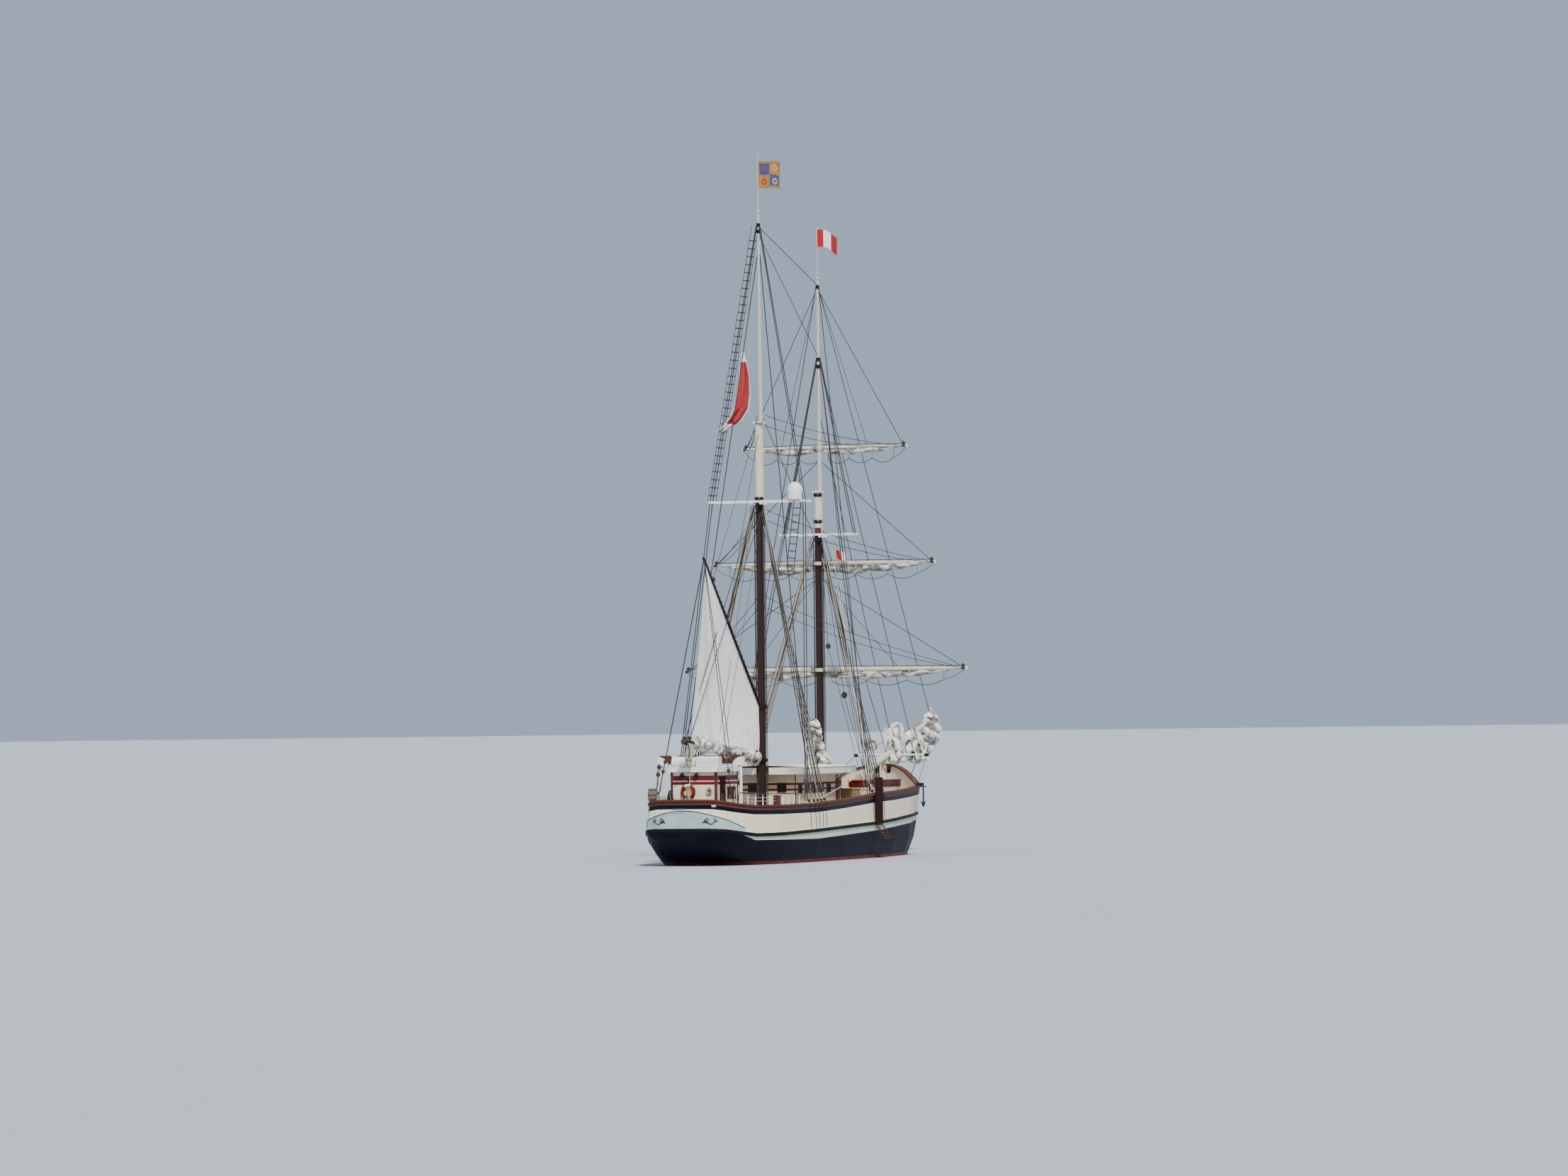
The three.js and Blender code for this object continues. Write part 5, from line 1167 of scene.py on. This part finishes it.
def name_board():
    piece("name_board", [surface(130, 6, board_front), surface(130, 1, board_edge)], "teal")
    top = [board_edge(i / 130, 0) for i in range(131)]
    for name, lift, radius, look, slot in (("edge", 0.012, 0.017, "black", "hull_paint"),
                                           ("bead", 0.045, 0.019, "white", "white_paint")):
        piece(f"name_board_{name}", [tube([p + Vector((0, 0, lift)) for p in top], radius)], look)
    curls = []
    for side in BOTH:
        for centre, twist, size, start in ((1.08, 1.2, 0.15, 0.4), (1.5, 1.0, 0.1, 2.6)):
            points = []
            for i in range(30):
                angle, reach = start + twist * TURN * i / 29, size * (0.25 + 0.75 * i / 29)
                points.append(stern_at(side * (centre + reach * cos(angle)), 2.12 + 0.9 * reach * sin(angle),
                                       0.036))
            curls.append(tube(points, 0.026, 6, 0.012))
        stalk = [stern_at(side * (0.92 + 0.09 * i), 2.02 + 0.07 * sin(1.1 * i), 0.036) for i in range(9)]
        curls.append(tube(stalk, 0.028, 6, 0.012))
    piece("name_board_scrolls", curls, "black")
    lead = [stern_at(-1.44 + 0.09 * cos(a), 2.79 + 0.025 * sin(a), 0.03) for a in turns(20)]
    piece("stern_fairlead", [tube(lead, 0.02, 8, closed=True)], "white")

    def plate_at(u, v, out=0.02):
        return stern_at(-0.02 + 0.56 * u, 2.47 + 0.2 * v, out)

    rim = [plate_at(u, v, 0.022) for u, v in ((0, 0), (1, 0), (1, 1), (0, 1))]
    piece("stern_plate", [surface(10, 4, plate_at), tube(rim, 0.014, closed=True)], "teal_dark")


name_board()


# Deckhouses, with half the breadth of their walls and the height of their eaves
AFT_HALF, MID_HALF, AFT_EAVES, MID_EAVES = 1.13, 1.4, 4.385, 4.13


def windows(name, places, wall, side, low, high, width):
    """Frames proud of the wall round its windows, with dark glass behind."""
    frames, panes = [], []
    for x in places:
        xs, zs = (x - 0.02, x + width + 0.02), (low - 0.02, high + 0.02)
        for ends, heights in ((xs, zs[:1] * 2), (xs[1:] * 2, zs), (xs, zs[1:] * 2), (xs[:1] * 2, zs)):
            frames.append(box(ends[0] - 0.03, ends[1] + 0.03, side * (wall - 0.01), side * (wall + 0.022),
                              heights[0] - 0.03, heights[1] + 0.03))
        panes.append(box(x + 0.002, x + width - 0.002, side * (wall - 0.05), side * (wall - 0.038),
                         low + 0.002, high - 0.002))
    piece(name + "_frames", frames, "red", bevel=0.006)
    piece(name + "_glass", panes, "glass")


windows("aft_windows_port", [-12.25, -11.5], AFT_HALF, 1, 3.15, 3.62, 0.42)
windows("aft_windows_starboard", [-11.28, -10.68], AFT_HALF, -1, 3.15, 3.62, 0.42)
for side_name, side in SIDES.items():
    windows(f"mid_windows_{side_name}", [-2.4, -1.4, -0.4, 0.6, 1.6], MID_HALF, side, 3.25, 3.65, 0.48)

AFT_FACE, AFT_FORE = -12.7, -9.9
BUOY_Y, BUOY_Z, BUOY_REACH = 0.26, 3.45, 0.29


def lifebuoy():
    def arc(start, end, steps, thick):
        """A bar on an arc against the aft wall, its angles in degrees from port."""
        angles = [radians(start + (end - start) * i / steps) for i in range(steps + 1)]
        return tube([(AFT_FACE - 0.07, BUOY_Y + BUOY_REACH * cos(a), BUOY_Z + 0.97 * BUOY_REACH * sin(a))
                     for a in angles], thick, 10)

    piece("lifebuoy", [arc(-62, 242, 30, 0.078)], "red")
    piece("lifebuoy_bands", [arc(58, 112, 8, 0.084)], "white")
    float_light = [(0.02, -0.2), (0.055, -0.18), (0.055, 0.02), (0.04, 0.05), (0.045, 0.12), (0.02, 0.2)]
    piece("lifebuoy_light", [turned(float_light, (AFT_FACE - 0.08, BUOY_Y, 3.42), UP, 14),
                             box(AFT_FACE - 0.05, AFT_FACE, 0.16, 0.36, 3.4, 3.46)], "yellow", bevel=0.004)
    piece("lifebuoy_hooks", [box(AFT_FACE - 0.1, AFT_FACE, y - 0.02, y + 0.02, z - 0.015, z + 0.015)
                             for y, z in ((0.01, 3.28), (0.51, 3.28), (0.26, 3.86))], "iron")


def aft_wall_gear():
    """Lamps, a coil and a cleat on the aft wall."""
    lamps = []
    for y in (0.55, -0.16):
        lamps += [turned([(0.02, 0), (0.05, 0.01), (0.09, 0.06), (0.1, 0.13), (0.075, 0.16), (0.02, 0.165)],
                         (AFT_FACE, y, 4.2), (-1, 0, 0), 16),
                  box(AFT_FACE - 0.05, AFT_FACE, y - 0.03, y + 0.03, 4.26, 4.34)]
    lamps += [box(AFT_FACE - 0.13, AFT_FACE, 0.08, 0.32, 4.33, 4.43),
              box(AFT_FACE - 0.1, AFT_FACE, 0.17, 0.27, 3.94, 4.04),
              hoop((AFT_FACE - 0.05, 0.22, 3.99), (1, 0, 0), 0.05, 0.012, 14)]
    piece("aft_lamps", lamps, "black", bevel=0.008)
    piece("aft_lamp_glass", [box(AFT_FACE - 0.137, AFT_FACE - 0.12, 0.11, 0.29, 4.345, 4.415)], "glass")
    piece("aft_wall_coil", [hoop((AFT_FACE - 0.05, -0.78, 3.43 + 0.012 * i), (1, 0.15 * sin(i), 0),
                                 0.12 + 0.012 * (i % 3), 0.014, 20, 5) for i in range(7)], "rope")
    piece("aft_wall_cleat", [bar((AFT_FACE - 0.06, -0.78, 3.28), (AFT_FACE - 0.06, -0.78, 3.64),
                                 0.02, 8, 0.012),
                             box(AFT_FACE - 0.06, AFT_FACE, -0.8, -0.76, 3.42, 3.48)], "iron")


def aft_house():
    """The aft house's corner posts, door and roof rail."""
    posts = []
    for side in BOTH:
        for x, ahead in ((AFT_FACE, 1), (AFT_FORE, -1)):
            posts += [box(x - 0.012 * ahead, x + 0.1 * ahead, side * AFT_HALF, side * 1.144, 2.02, AFT_EAVES),
                      box(x - 0.014 * ahead, x, side * 1.03, side * 1.144, 2.02, AFT_EAVES)]
    piece("aft_corner_posts", posts, "brown_upright", bevel=0.004)
    piece("aft_door_frame", [box(-12.29, -12.215, -1.148, -AFT_HALF, 2.05, 4.12),
                             box(-11.6, -11.525, -1.148, -AFT_HALF, 2.05, 4.12),
                             box(-12.29, -11.525, -1.148, -AFT_HALF, 4.06, 4.14)], "dark_brown", bevel=0.005)
    heights = ((2.2, 2.85), (2.95, 3.35))
    panels = [box(-12.13, -11.69, -1.137, -1.125, low, high) for low, high in heights]
    panels += [box(-12.09, -11.73, -1.139, -1.125, low + 0.04, high - 0.04) for low, high in heights]
    piece("aft_door_panels", panels, "brown_upright", "aft_house_door", 0.005)
    piece("aft_door_light", [box(-12.07, -11.75, -1.137, -1.125, 3.48, 3.9)], "dark_brown", "aft_house_door",
          bevel=0.005)
    knob = [(0.03, 0), (0.03, 0.012), (0.012, 0.02), (0.012, 0.05), (0.03, 0.055), (0.028, 0.08),
            (0.01, 0.085)]
    piece("aft_door_handle", [turned(knob, (-12.13, -AFT_HALF, 3.02), (0, -1, 0))], "bronze",
          "aft_house_door")
    rail, posts = [], []
    corners = [Vector((x, y, 4.475)) for x, y in ((-12.75, -1.2), (-12.75, 1.2), (-9.85, 1.2), (-9.85, -1.2))]
    rise = Vector((0, 0, 0.09))
    for a, b in zip(corners, corners[1:] + corners[:1]):
        count = 12 if a.x == b.x else 14
        rail.append(bar(a + rise, b + rise, 0.018))
        posts += [turned([(0.02, 0), (0.028, 0.01), (0.014, 0.03), (0.016, 0.06), (0.012, 0.085)],
                         a.lerp(b, i / count), UP, 8)
                  for i in range(count)]
    piece("aft_roof_rail", rail + posts, "white")
    edge = [box(-12.84, -9.76, side * 1.262 - 0.014, side * 1.262 + 0.014, 4.36, 4.56) for side in BOTH]
    edge += [box(x - 0.014, x + 0.014, -1.276, 1.276, 4.36, 4.56) for x in (-12.826, -9.774)]
    piece("aft_roof_edge", edge, "white", bevel=0.006)


lifebuoy()
aft_wall_gear()
aft_house()

ROOF_AFT, ROOF_FORE, ROOF_HALF, ROOF_TOP = -3.46, 4.26, 1.96, 4.46
ROOF_CAMBER, MAST_HOLE = 0.1, 0.3


def roof_at(u, v, sink=0.0):
    """A place on the midship house's cambered roof, which starts round the main mast."""
    y = -ROOF_HALF + 2 * ROOF_HALF * v
    start = max(ROOF_AFT, MAIN_X + sqrt(max(0.0, MAST_HOLE ** 2 - y ** 2)))
    return Vector((start + (ROOF_FORE - start) * u, y,
                   ROOF_TOP - 0.01 - sink + ROOF_CAMBER * (1 - (y / ROOF_HALF) ** 2)))


def mid_house():
    """The midship house's deep roof edge and cambered top, its corner posts and its gear on the roof."""
    edge = [box(ROOF_AFT, ROOF_FORE, side * ROOF_HALF - 0.02, side * ROOF_HALF + 0.02, MID_EAVES, ROOF_TOP)
            for side in BOTH]
    edge += [box(ROOF_AFT - 0.02, ROOF_AFT + 0.02, side * MAST_HOLE, side * ROOF_HALF, MID_EAVES, ROOF_TOP)
             for side in BOTH]
    edge.append(box(ROOF_FORE - 0.02, ROOF_FORE + 0.02, -ROOF_HALF, ROOF_HALF, MID_EAVES, ROOF_TOP))
    edge += [bar((ROOF_AFT, side * (ROOF_HALF + 0.02), ROOF_TOP),
                 (ROOF_FORE, side * (ROOF_HALF + 0.02), ROOF_TOP), 0.03, 8)
             for side in BOTH]
    piece("mid_roof_edge", edge, "white", bevel=0.006)
    under = surface(4, 48, lambda u, v: roof_at(u, v, 0.03))
    piece("mid_roof_top", [surface(24, 48, roof_at), under], "roof")
    piece("mid_roof_battens", [tube([roof_at(0.02 + 0.97 * i / 12, j / 10, -0.004) for j in range(11)],
                                    0.012, 5) for i in range(13)], "cream")
    piece("mid_corner_posts", [box(x - 0.05, x + 0.05, side * MID_HALF, side * 1.418, 2.1, MID_EAVES)
                               for side in BOTH for x in (-2.82, 3.62)], "brown_upright", bevel=0.005)
    piece("mid_roof_brackets", [bar((-2.7 + 0.9 * i, side * 1.41, 3.86),
                                    (-2.7 + 0.9 * i, side * 1.86, 4.14), 0.022)
                                for side in BOTH for i in range(8)], "white")
    vents = []
    for x, y in ((-1.9, 0.9), (2.7, -0.9)):
        vents += [turned([(0.06, 0), (0.06, 0.3), (0.07, 0.31), (0.05, 0.33)], (x, y, 4.5), UP, 14),
                  turned([(0.07, -0.02), (0.1, 0.02), (0.15, 0.1), (0.16, 0.12), (0.14, 0.12), (0.08, 0.03)],
                         (x - 0.03, y, 4.86), (-1, 0, 0.15), 16)]
    piece("roof_vents", vents, "white")
    piece("mid_door_panels", [box(2.93, 3.4, -1.418, -1.395, low, high)
                              for low, high in ((2.45, 3.05), (3.15, 3.9))],
          "red", "mid_house_door", bevel=0.005)
    piece("mid_aft_windows", [box(-2.93, -2.9, y - 0.03, y + 0.43, 3.27, 3.73) for y in (-0.95, 0.55)], "red",
          bevel=0.005)
    piece("mid_aft_glass", [box(-2.945, -2.92, y + 0.02, y + 0.38, 3.32, 3.68) for y in (-0.95, 0.55)],
          "glass")


mid_house()

# The low trunk on the foredeck, with the boxes aft of it
TRUNK = (5.95, 9.5, -2.4, -1.0)


def grown(limits, by, low, high):
    """A box over an outline (x0, x1, y0, y1) that is wider by so much on each side."""
    x0, x1, y0, y1 = limits
    return box(x0 - by, x1 + by, y0 - by, y1 + by, low, high)


piece("foredeck_trunk", [grown(TRUNK, 0, 2.15, 3.42)], "cream", bevel=0.02)
piece("foredeck_trunk_top", [grown(TRUNK, 0.03, 3.4, 3.68), grown(TRUNK, 0.06, 3.67, 3.73)], "red",
      bevel=0.012)
piece("foredeck_trunk_deck", [grown(TRUNK, -0.04, 3.71, 3.75)], "teak", bevel=0.006)
piece("foredeck_trunk_lights", [box(x, x + 0.34, -2.436, -2.42, 3.45, 3.62) for x in (6.3, 7.2, 8.1, 9.0)],
      "glass", bevel=0.01)
for name, outline, top, look in (("deck_chest", (4.95, 5.45, -1.75, -0.85), 3.3, "chest"),
                                 ("deck_bin", (5.2, 5.7, -2.5, -1.9), 3.28, "cream")):
    piece(name, [grown(outline, 0, 2.1, top), grown(outline, 0.03, top - 0.02, top + 0.06)], look, bevel=0.02)


def fife_rail():
    """The rail round the foremast's foot, with its belaying pins and the coils hung on them."""
    deck, top = 2.18, 3.22
    wood, pins, coils = [], [], []
    post = [(0.07, 0), (0.07, 0.2), (0.045, 0.3), (0.06, 0.62), (0.045, 0.85), (0.07, 0.92),
            (0.07, top - deck)]
    pin = [(0.012, -0.2), (0.016, 0), (0.03, 0.07), (0.03, 0.1), (0.018, 0.13), (0.026, 0.2), (0.01, 0.24)]
    for side in BOTH:
        y = side * 0.64
        wood += [turned(post, (x, y, deck)) for x in (FORE_X - 0.5, FORE_X + 0.5)]
        wood.append(box(FORE_X - 0.65, FORE_X + 0.65, y - 0.08, y + 0.08, top, top + 0.07))
        for k in range(6):
            spot = Vector((FORE_X - 0.5 + 0.2 * k, y, top))
            pins.append(turned(pin, spot, UP, 8))
            for turn in range(4):
                drop = 0.26 * (1 + 0.05 * turn)
                ring = [spot + Vector((0.05 * sin(a) + 0.012 * turn, side * (0.1 + 0.015 * turn),
                                       0.02 - drop * (1 - cos(a)))) for a in turns(14)]
                coils.append(tube(ring, 0.017, 5, closed=True))
    piece("fife_rail", wood, "red", bevel=0.008)
    piece("belaying_pins", pins, "block")
    piece("fife_rail_coils", coils, "rope")


fife_rail()


# Gallows, liferafts and the gear at the boom's end
def plate(ring, x0, x1):
    """A flat plate across the ship, from its outline as (y, z)."""
    count = len(ring)
    verts = [Vector((x, y, z)) for x in (x0, x1) for y, z in ring]
    faces = [tuple(range(count)), tuple(range(count, 2 * count))[::-1]]
    return verts, faces + [(i, (i + 1) % count, (i + 1) % count + count, i + count) for i in range(count)]


def gallows_ends():
    x, y, foot = -11.75, 1.99, 4.66
    caps = []
    for side in BOTH:
        face = side * 2.115
        curve = [(face - side * 0.5 * sin(radians(6 * i)), foot + 0.4 * cos(radians(6 * i)))
                 for i in range(16)]
        caps += [plate([(face, foot), *curve], at, at + 0.038) for at in (x - 0.1, x + 0.062)]
        caps += [box(x - 0.1, x + 0.1, face, face + side * 0.02, foot, 5.01),
                 bar((x, side * y, 2.0), (x, side * y, 4.75), 0.066, 14),
                 turned([(0.066, 0), (0.11, 0.0), (0.11, 0.03), (0.08, 0.06), (0.066, 0.06)],
                        (x, side * y, 1.93), UP, 14)]
    piece("gallows_ends", caps, "white", bevel=0.005)


RAFT_X, RAFT_Y, RAFT_Z = -12.25, 0.6, 4.81
RAFT_REACH, RAFT_HALF = 0.276, 0.54


def liferaft_straps():
    wide, narrow = RAFT_REACH, 0.2
    square = [(-wide, -narrow), (-wide, narrow), (-narrow, wide), (narrow, wide), (wide, narrow),
              (wide, -narrow)]
    shares = (-0.7, -0.25, 0.25, 0.7)
    straps = [hoop((RAFT_X, RAFT_Y + share * RAFT_HALF, RAFT_Z), (0, 1, 0), RAFT_REACH, 0.011, 30)
              for share in shares]
    straps += [tube([(RAFT_X + dx, share * RAFT_HALF - RAFT_Y, RAFT_Z + dz) for dx, dz in square], 0.011)
               for share in shares]
    piece("liferaft_straps", straps, "white_rope")
    seams = [hoop((RAFT_X, RAFT_Y, RAFT_Z), (0, 1, 0), 0.273, 0.02, 30)]
    end = [(0.02, -0.02), (0.2, -0.018), (0.255, 0.0), (0.262, 0.02), (0.262, 0.035), (0.02, 0.035)]
    seams += [turned(end, (RAFT_X, RAFT_Y + way * RAFT_HALF, RAFT_Z), (0, way, 0), 24) for way in BOTH]
    seams.append(tube([(-12.525, -1.13, 4.83), (-12.525, -0.07, 4.83), (-11.975, -0.07, 4.83),
                       (-11.975, -1.13, 4.83)], 0.014, closed=True))
    piece("liferaft_seams", seams, "gelcoat")


# Loops of rope hung from the boom's end, as (x, y, drop, half breadth)
HANKS = [(-13.55, -0.12, 0.75, 0.09), (-13.38, -0.02, 1.0, 0.12), (-13.22, 0.1, 0.7, 0.1),
         (-13.3, -0.14, 0.55, 0.08)]


def boom_end():
    gear, hanks = [], []
    for i in range(16):
        x = -13.72 + 0.045 * i
        gear.append(hoop((x, 0.01 * sin(i), between(BOOM_LINE, x) + 0.01 * cos(2 * i)),
                         (1, 0.1 * sin(3 * i), -0.09), 0.11 + 0.015 * sin(1.7 * i), 0.014, 18))
    cap = [(0.03, -0.12), (0.1, -0.11), (0.13, -0.03), (0.135, 0.03), (0.11, 0.09), (0.03, 0.11)]
    gear.append(turned(cap, (-13.93, 0, 5.79), (-1, 0, 0.09), 16))
    piece("boom_end_lashing", gear, "wire", "boom_and_gaff")
    for k, (x, y, drop, size) in enumerate(HANKS):
        top = between(BOOM_LINE, x) - 0.06
        for turn in range(5):
            across, fall = size * (1 + 0.1 * turn), drop / 2 * (1 + 0.03 * turn)
            at = x + 0.035 * (turn - 2) + 0.03 * sin(2.1 * turn + k)
            hanks.append(tube([(at, y + across * sin(a), top - fall * (1 - cos(a))) for a in turns(16)],
                              0.016, 5, closed=True))
        hanks.append(hoop((x, y, top - 0.16), UP, size * 0.55, 0.016, 12, 5))
    piece("boom_end_hanks", hanks, "rope", "boom_and_gaff")


gallows_ends()
liferaft_straps()
boom_end()


# Rails and fittings on the quarters
def quarter_rail():
    """The starboard quarter's flat rail on turned posts, with its lines and the box under it."""
    post = [(0.045, 0), (0.045, 0.02), (0.026, 0.05), (0.022, 0.2), (0.03, 0.24), (0.022, 0.28), (0.02, 0.47),
            (0.03, 0.485)]
    places = [TRANSOM + 1.45 + 5.35 * i / 36 for i in range(37)]
    rail = [rail_at(x, -1, 0.07, 0.5) for x in places]
    flat = []
    for a, b in zip(rail, rail[1:]):
        way = (b - a).normalized()
        across, up = Vector((-way.y, way.x, 0)) * 0.055, Vector((0, 0, 0.022))
        verts = [p + shift for p in (a, b) for shift in (-across - up, across - up, across + up, up - across)]
        flat.append((verts, [(0, 1, 2, 3), (7, 6, 5, 4), (0, 4, 5, 1), (1, 5, 6, 2), (2, 6, 7, 3),
                             (3, 7, 4, 0)]))
    piece("quarter_rail_top", flat, "brown", smooth=False)
    piece("quarter_rail_posts", [turned(post, rail_at(x, -1, 0.07, -0.005)) for x in places[::4]], "white")
    lines = [tube([p - Vector((0, 0, drop)) for p in rail], 0.009, 5) for drop in (0.17, 0.33)]
    piece("quarter_rail_lines", lines, "white_rope")
    x, y, z = rail_at(TRANSOM + 4.55, -1, 0.1)
    piece("quarter_rail_box", [box(x - 0.22, x + 0.22, y - 0.1, y + 0.12, z - 0.004, z + 0.4),
                               box(x - 0.25, x + 0.25, y - 0.12, y + 0.14, z + 0.39, z + 0.43)],
          "brown", bevel=0.01)


def port_quarter():
    """A covered barrel, a coil and a fender stowed on the port quarter, and the gallows' tackle."""
    centre = Vector((-13.1, 1.9, 3.02))
    barrel = [(0.02, 0), (0.17, 0.0), (0.21, 0.14), (0.225, 0.3), (0.21, 0.46), (0.17, 0.6), (0.02, 0.61)]
    piece("quarter_barrel", [turned(barrel, centre, UP, 18)], "bunt")
    piece("quarter_barrel_straps", [hoop(centre + Vector((0, 0, z)), UP, r, 0.014, 20)
                                    for z, r in ((0.08, 0.195), (0.3, 0.226), (0.52, 0.197))], "dark_brown")
    piece("quarter_coil", [hoop((-13.2 + 0.01 * sin(i), 1.38 - 0.02 * (i % 2), 3.1 + 0.026 * i),
                                (0.1 * sin(i), 0.1 * cos(i), 1), 0.16 - 0.006 * i, 0.02, 20)
                           for i in range(7)], "rope")
    cone = turned([(0.03, 0.0), (0.17, 0.01), (0.15, 0.1), (0.09, 0.32), (0.05, 0.42), (0.02, 0.44)],
                  (-13.2, 0.98, 3.08), (0.05, 0.08, 1), 18)
    piece("quarter_cone", [cone, hoop((-13.18, 0.99, 3.52), (0, 1, 0), 0.04, 0.01, 12)], "black")
    piece("gallows_tackle", [tube([(-11.86 - 0.02 * k, 2.02 + 0.03 * k, 4.75),
                                   (-11.95 - 0.02 * k, 2.05 + 0.02 * k, 4.0), (-12.2, 2.1, 3.05)],
                                  0.012, 5) for k in range(3)], "wire")
    blocks = [((-11.88, 2.03, 4.6), UP, 0.17), ((-11.95, 2.06, 4.25), UP, 0.17),
              ((-12.12, 2.09, 3.4), (0.2, 0, 1), 0.16)]
    piece("gallows_tackle_blocks", [block_shape(*block) for block in blocks], "block")


quarter_rail()
port_quarter()


# Flags
def flag_cloth(name, field, edge=None, border=None):
    """A flag's cloth: field(look, u, v) gives its colours, in a border if a colour is given."""
    look = Finish(name, 0.85, sheen=0.2)
    uv = look.node("TexCoord", output="UV")
    u, v = (look.node("SeparateXYZ", {0: uv}, axis) for axis in "XY")
    look.tone = field(look, u, v)
    if border:
        inside = ((u > edge[0]) * (u < 1 - edge[0])) * ((v > edge[1]) * (v < 1 - edge[1]))
        look.tone = look.mix(inside, border, look.tone)
    look.lay(look.noise(60.0, detail=2.0) * 0.12, (0.1, 0.1, 0.1))
    return look.done(None, (look.noise(6.0), 0.3, 0.02))


def striped(*stripes):
    """Upright stripes after a red one, as (share of the length, colour)."""
    def field(look, u, v):
        tone = FLAG_RED
        for start, color in stripes:
            tone = look.mix(u > start, tone, color)
        return tone
    return field


def quartered(look, u, v):
    """Plain quarters with a ring in each."""
    right, top = u > 0.5, v > 0.5
    amber, blue, dark_red, gold = (0.42, 0.17, 0.02), (0.03, 0.06, 0.22), (0.3, 0.03, 0.03), (0.5, 0.36, 0.1)
    tone = look.mix(top, look.mix(right, amber, blue), look.mix(right, blue, amber))
    part = look.node("CombineXYZ",
                     {i: look.math("FRACT", share * 2.0) - 0.5 for i, share in enumerate((u, v))})
    far = look.node("VectorMath", {0: part}, "Value", operation="LENGTH")
    return look.mix((far > 0.12) * (far < 0.24), tone, look.mix(right, dark_red, gold))


FLAG_RED, FLAG_WHITE = (0.42, 0.008, 0.014), (0.84, 0.83, 0.8)
LOOKS["banner"] = flag_cloth("banner_cloth", quartered, (0.06, 0.08), (0.3, 0.17, 0.04))
LOOKS["triband"] = flag_cloth("triband_cloth", striped((0.3, FLAG_WHITE), (0.7, FLAG_RED)))
LOOKS["ensign"] = flag_cloth("ensign_cloth", striped(), (0.07, 0.12), FLAG_WHITE)
LOOKS["pennant"] = flag_cloth("pennant_cloth", striped((0.5, FLAG_WHITE)))


def flag(name, look, at, columns=36, rows=22):
    """A flag with its cut size, at(u, v) giving its points from the hoist's foot."""
    obj = piece(name, [surface(columns, rows, at)], look)
    layer = obj.data.uv_layers.new(name="cut")
    for loop in obj.data.loops:
        row, column = divmod(loop.vertex_index, columns + 1)
        layer.data[loop.index].uv = (column / columns, row / rows)


FLY, ACROSS = Vector((0.42, -0.905, 0)).normalized(), Vector((0.905, 0.42, 0)).normalized()


def flown(x, top, hoist, fly, droop, wave, phase):
    """A flag streaming from its staff, its fly end falling by droop."""
    def at(u, v):
        ripple = wave * sin(7.5 * u + 1.6 * v + phase) * u ** 0.6
        fall = droop * u ** 1.6 + 0.04 * sin(6 * u + phase)
        foot = Vector((x, 0, top - hoist + hoist * v - fall))
        return foot + FLY * (0.02 + fly * u * (1 - 0.06 * u)) + ACROSS * ripple
    return at


# [share down the flag, its middle's reach aft of the halyard, half breadth], the fly end swept into a tail
HANGING = [(0.0, 0.0, 0.05), (0.12, 0.02, 0.14), (0.3, 0.06, 0.26), (0.5, 0.02, 0.34), (0.68, -0.08, 0.36),
           (0.82, -0.4, 0.32), (0.93, -0.85, 0.2), (1.0, -1.2, 0.1)]


def hanging(u, v):
    """The large red flag, hanging in folds beside the main topmast, its tail blown to port."""
    v = 1 - v
    fold = 0.12 * sin(12 * u + 4 * v) * min(1, 3 * v)
    reach = between(HANGING, v) + (2 * u - 1) * between(HANGING, v, 2)
    return (Vector((MAIN_TOP_X, 0.86, 24.35 - 3.95 * v + 0.25 * (1 - u) * max(0, v - 0.6)))
            + FLY * reach + ACROSS * fold)


def small_pennant(u, v):
    staff = Vector((FORE_X - 0.13, -0.97, 15.0 - 0.42 * (1 - v) - 0.16 * u))
    return staff + FLY * 0.5 * u + ACROSS * 0.04 * sin(8 * u + 3 * v)


flag("masthead_banner", "banner", flown(MAIN_TOP_X, 33.5, 1.3, 1.12, 0.1, 0.1, 0.4))
flag("foremast_flag", "triband", flown(FORE_TOP_X, 30.75, 0.85, 1.02, 0.42, 0.14, 1.9))
flag("hanging_flag", "ensign", hanging, 30, 60)
flag("small_pennant", "pennant", small_pennant, 16, 10)
piece("flag_halyards", [sagged((MAIN_TOP_X, 0.1, 30.6), (MAIN_TOP_X, 1.9, 17.3), 0.008, 0.05),
                        sagged((FORE_X + 0.05, -0.82, 15.75), (2.0, -3.2, 3.3), 0.008),
                        bar((MAIN_TOP_X, 0, 31.05), (MAIN_TOP_X, 0.02, 33.6), 0.006, 5)], "rope")
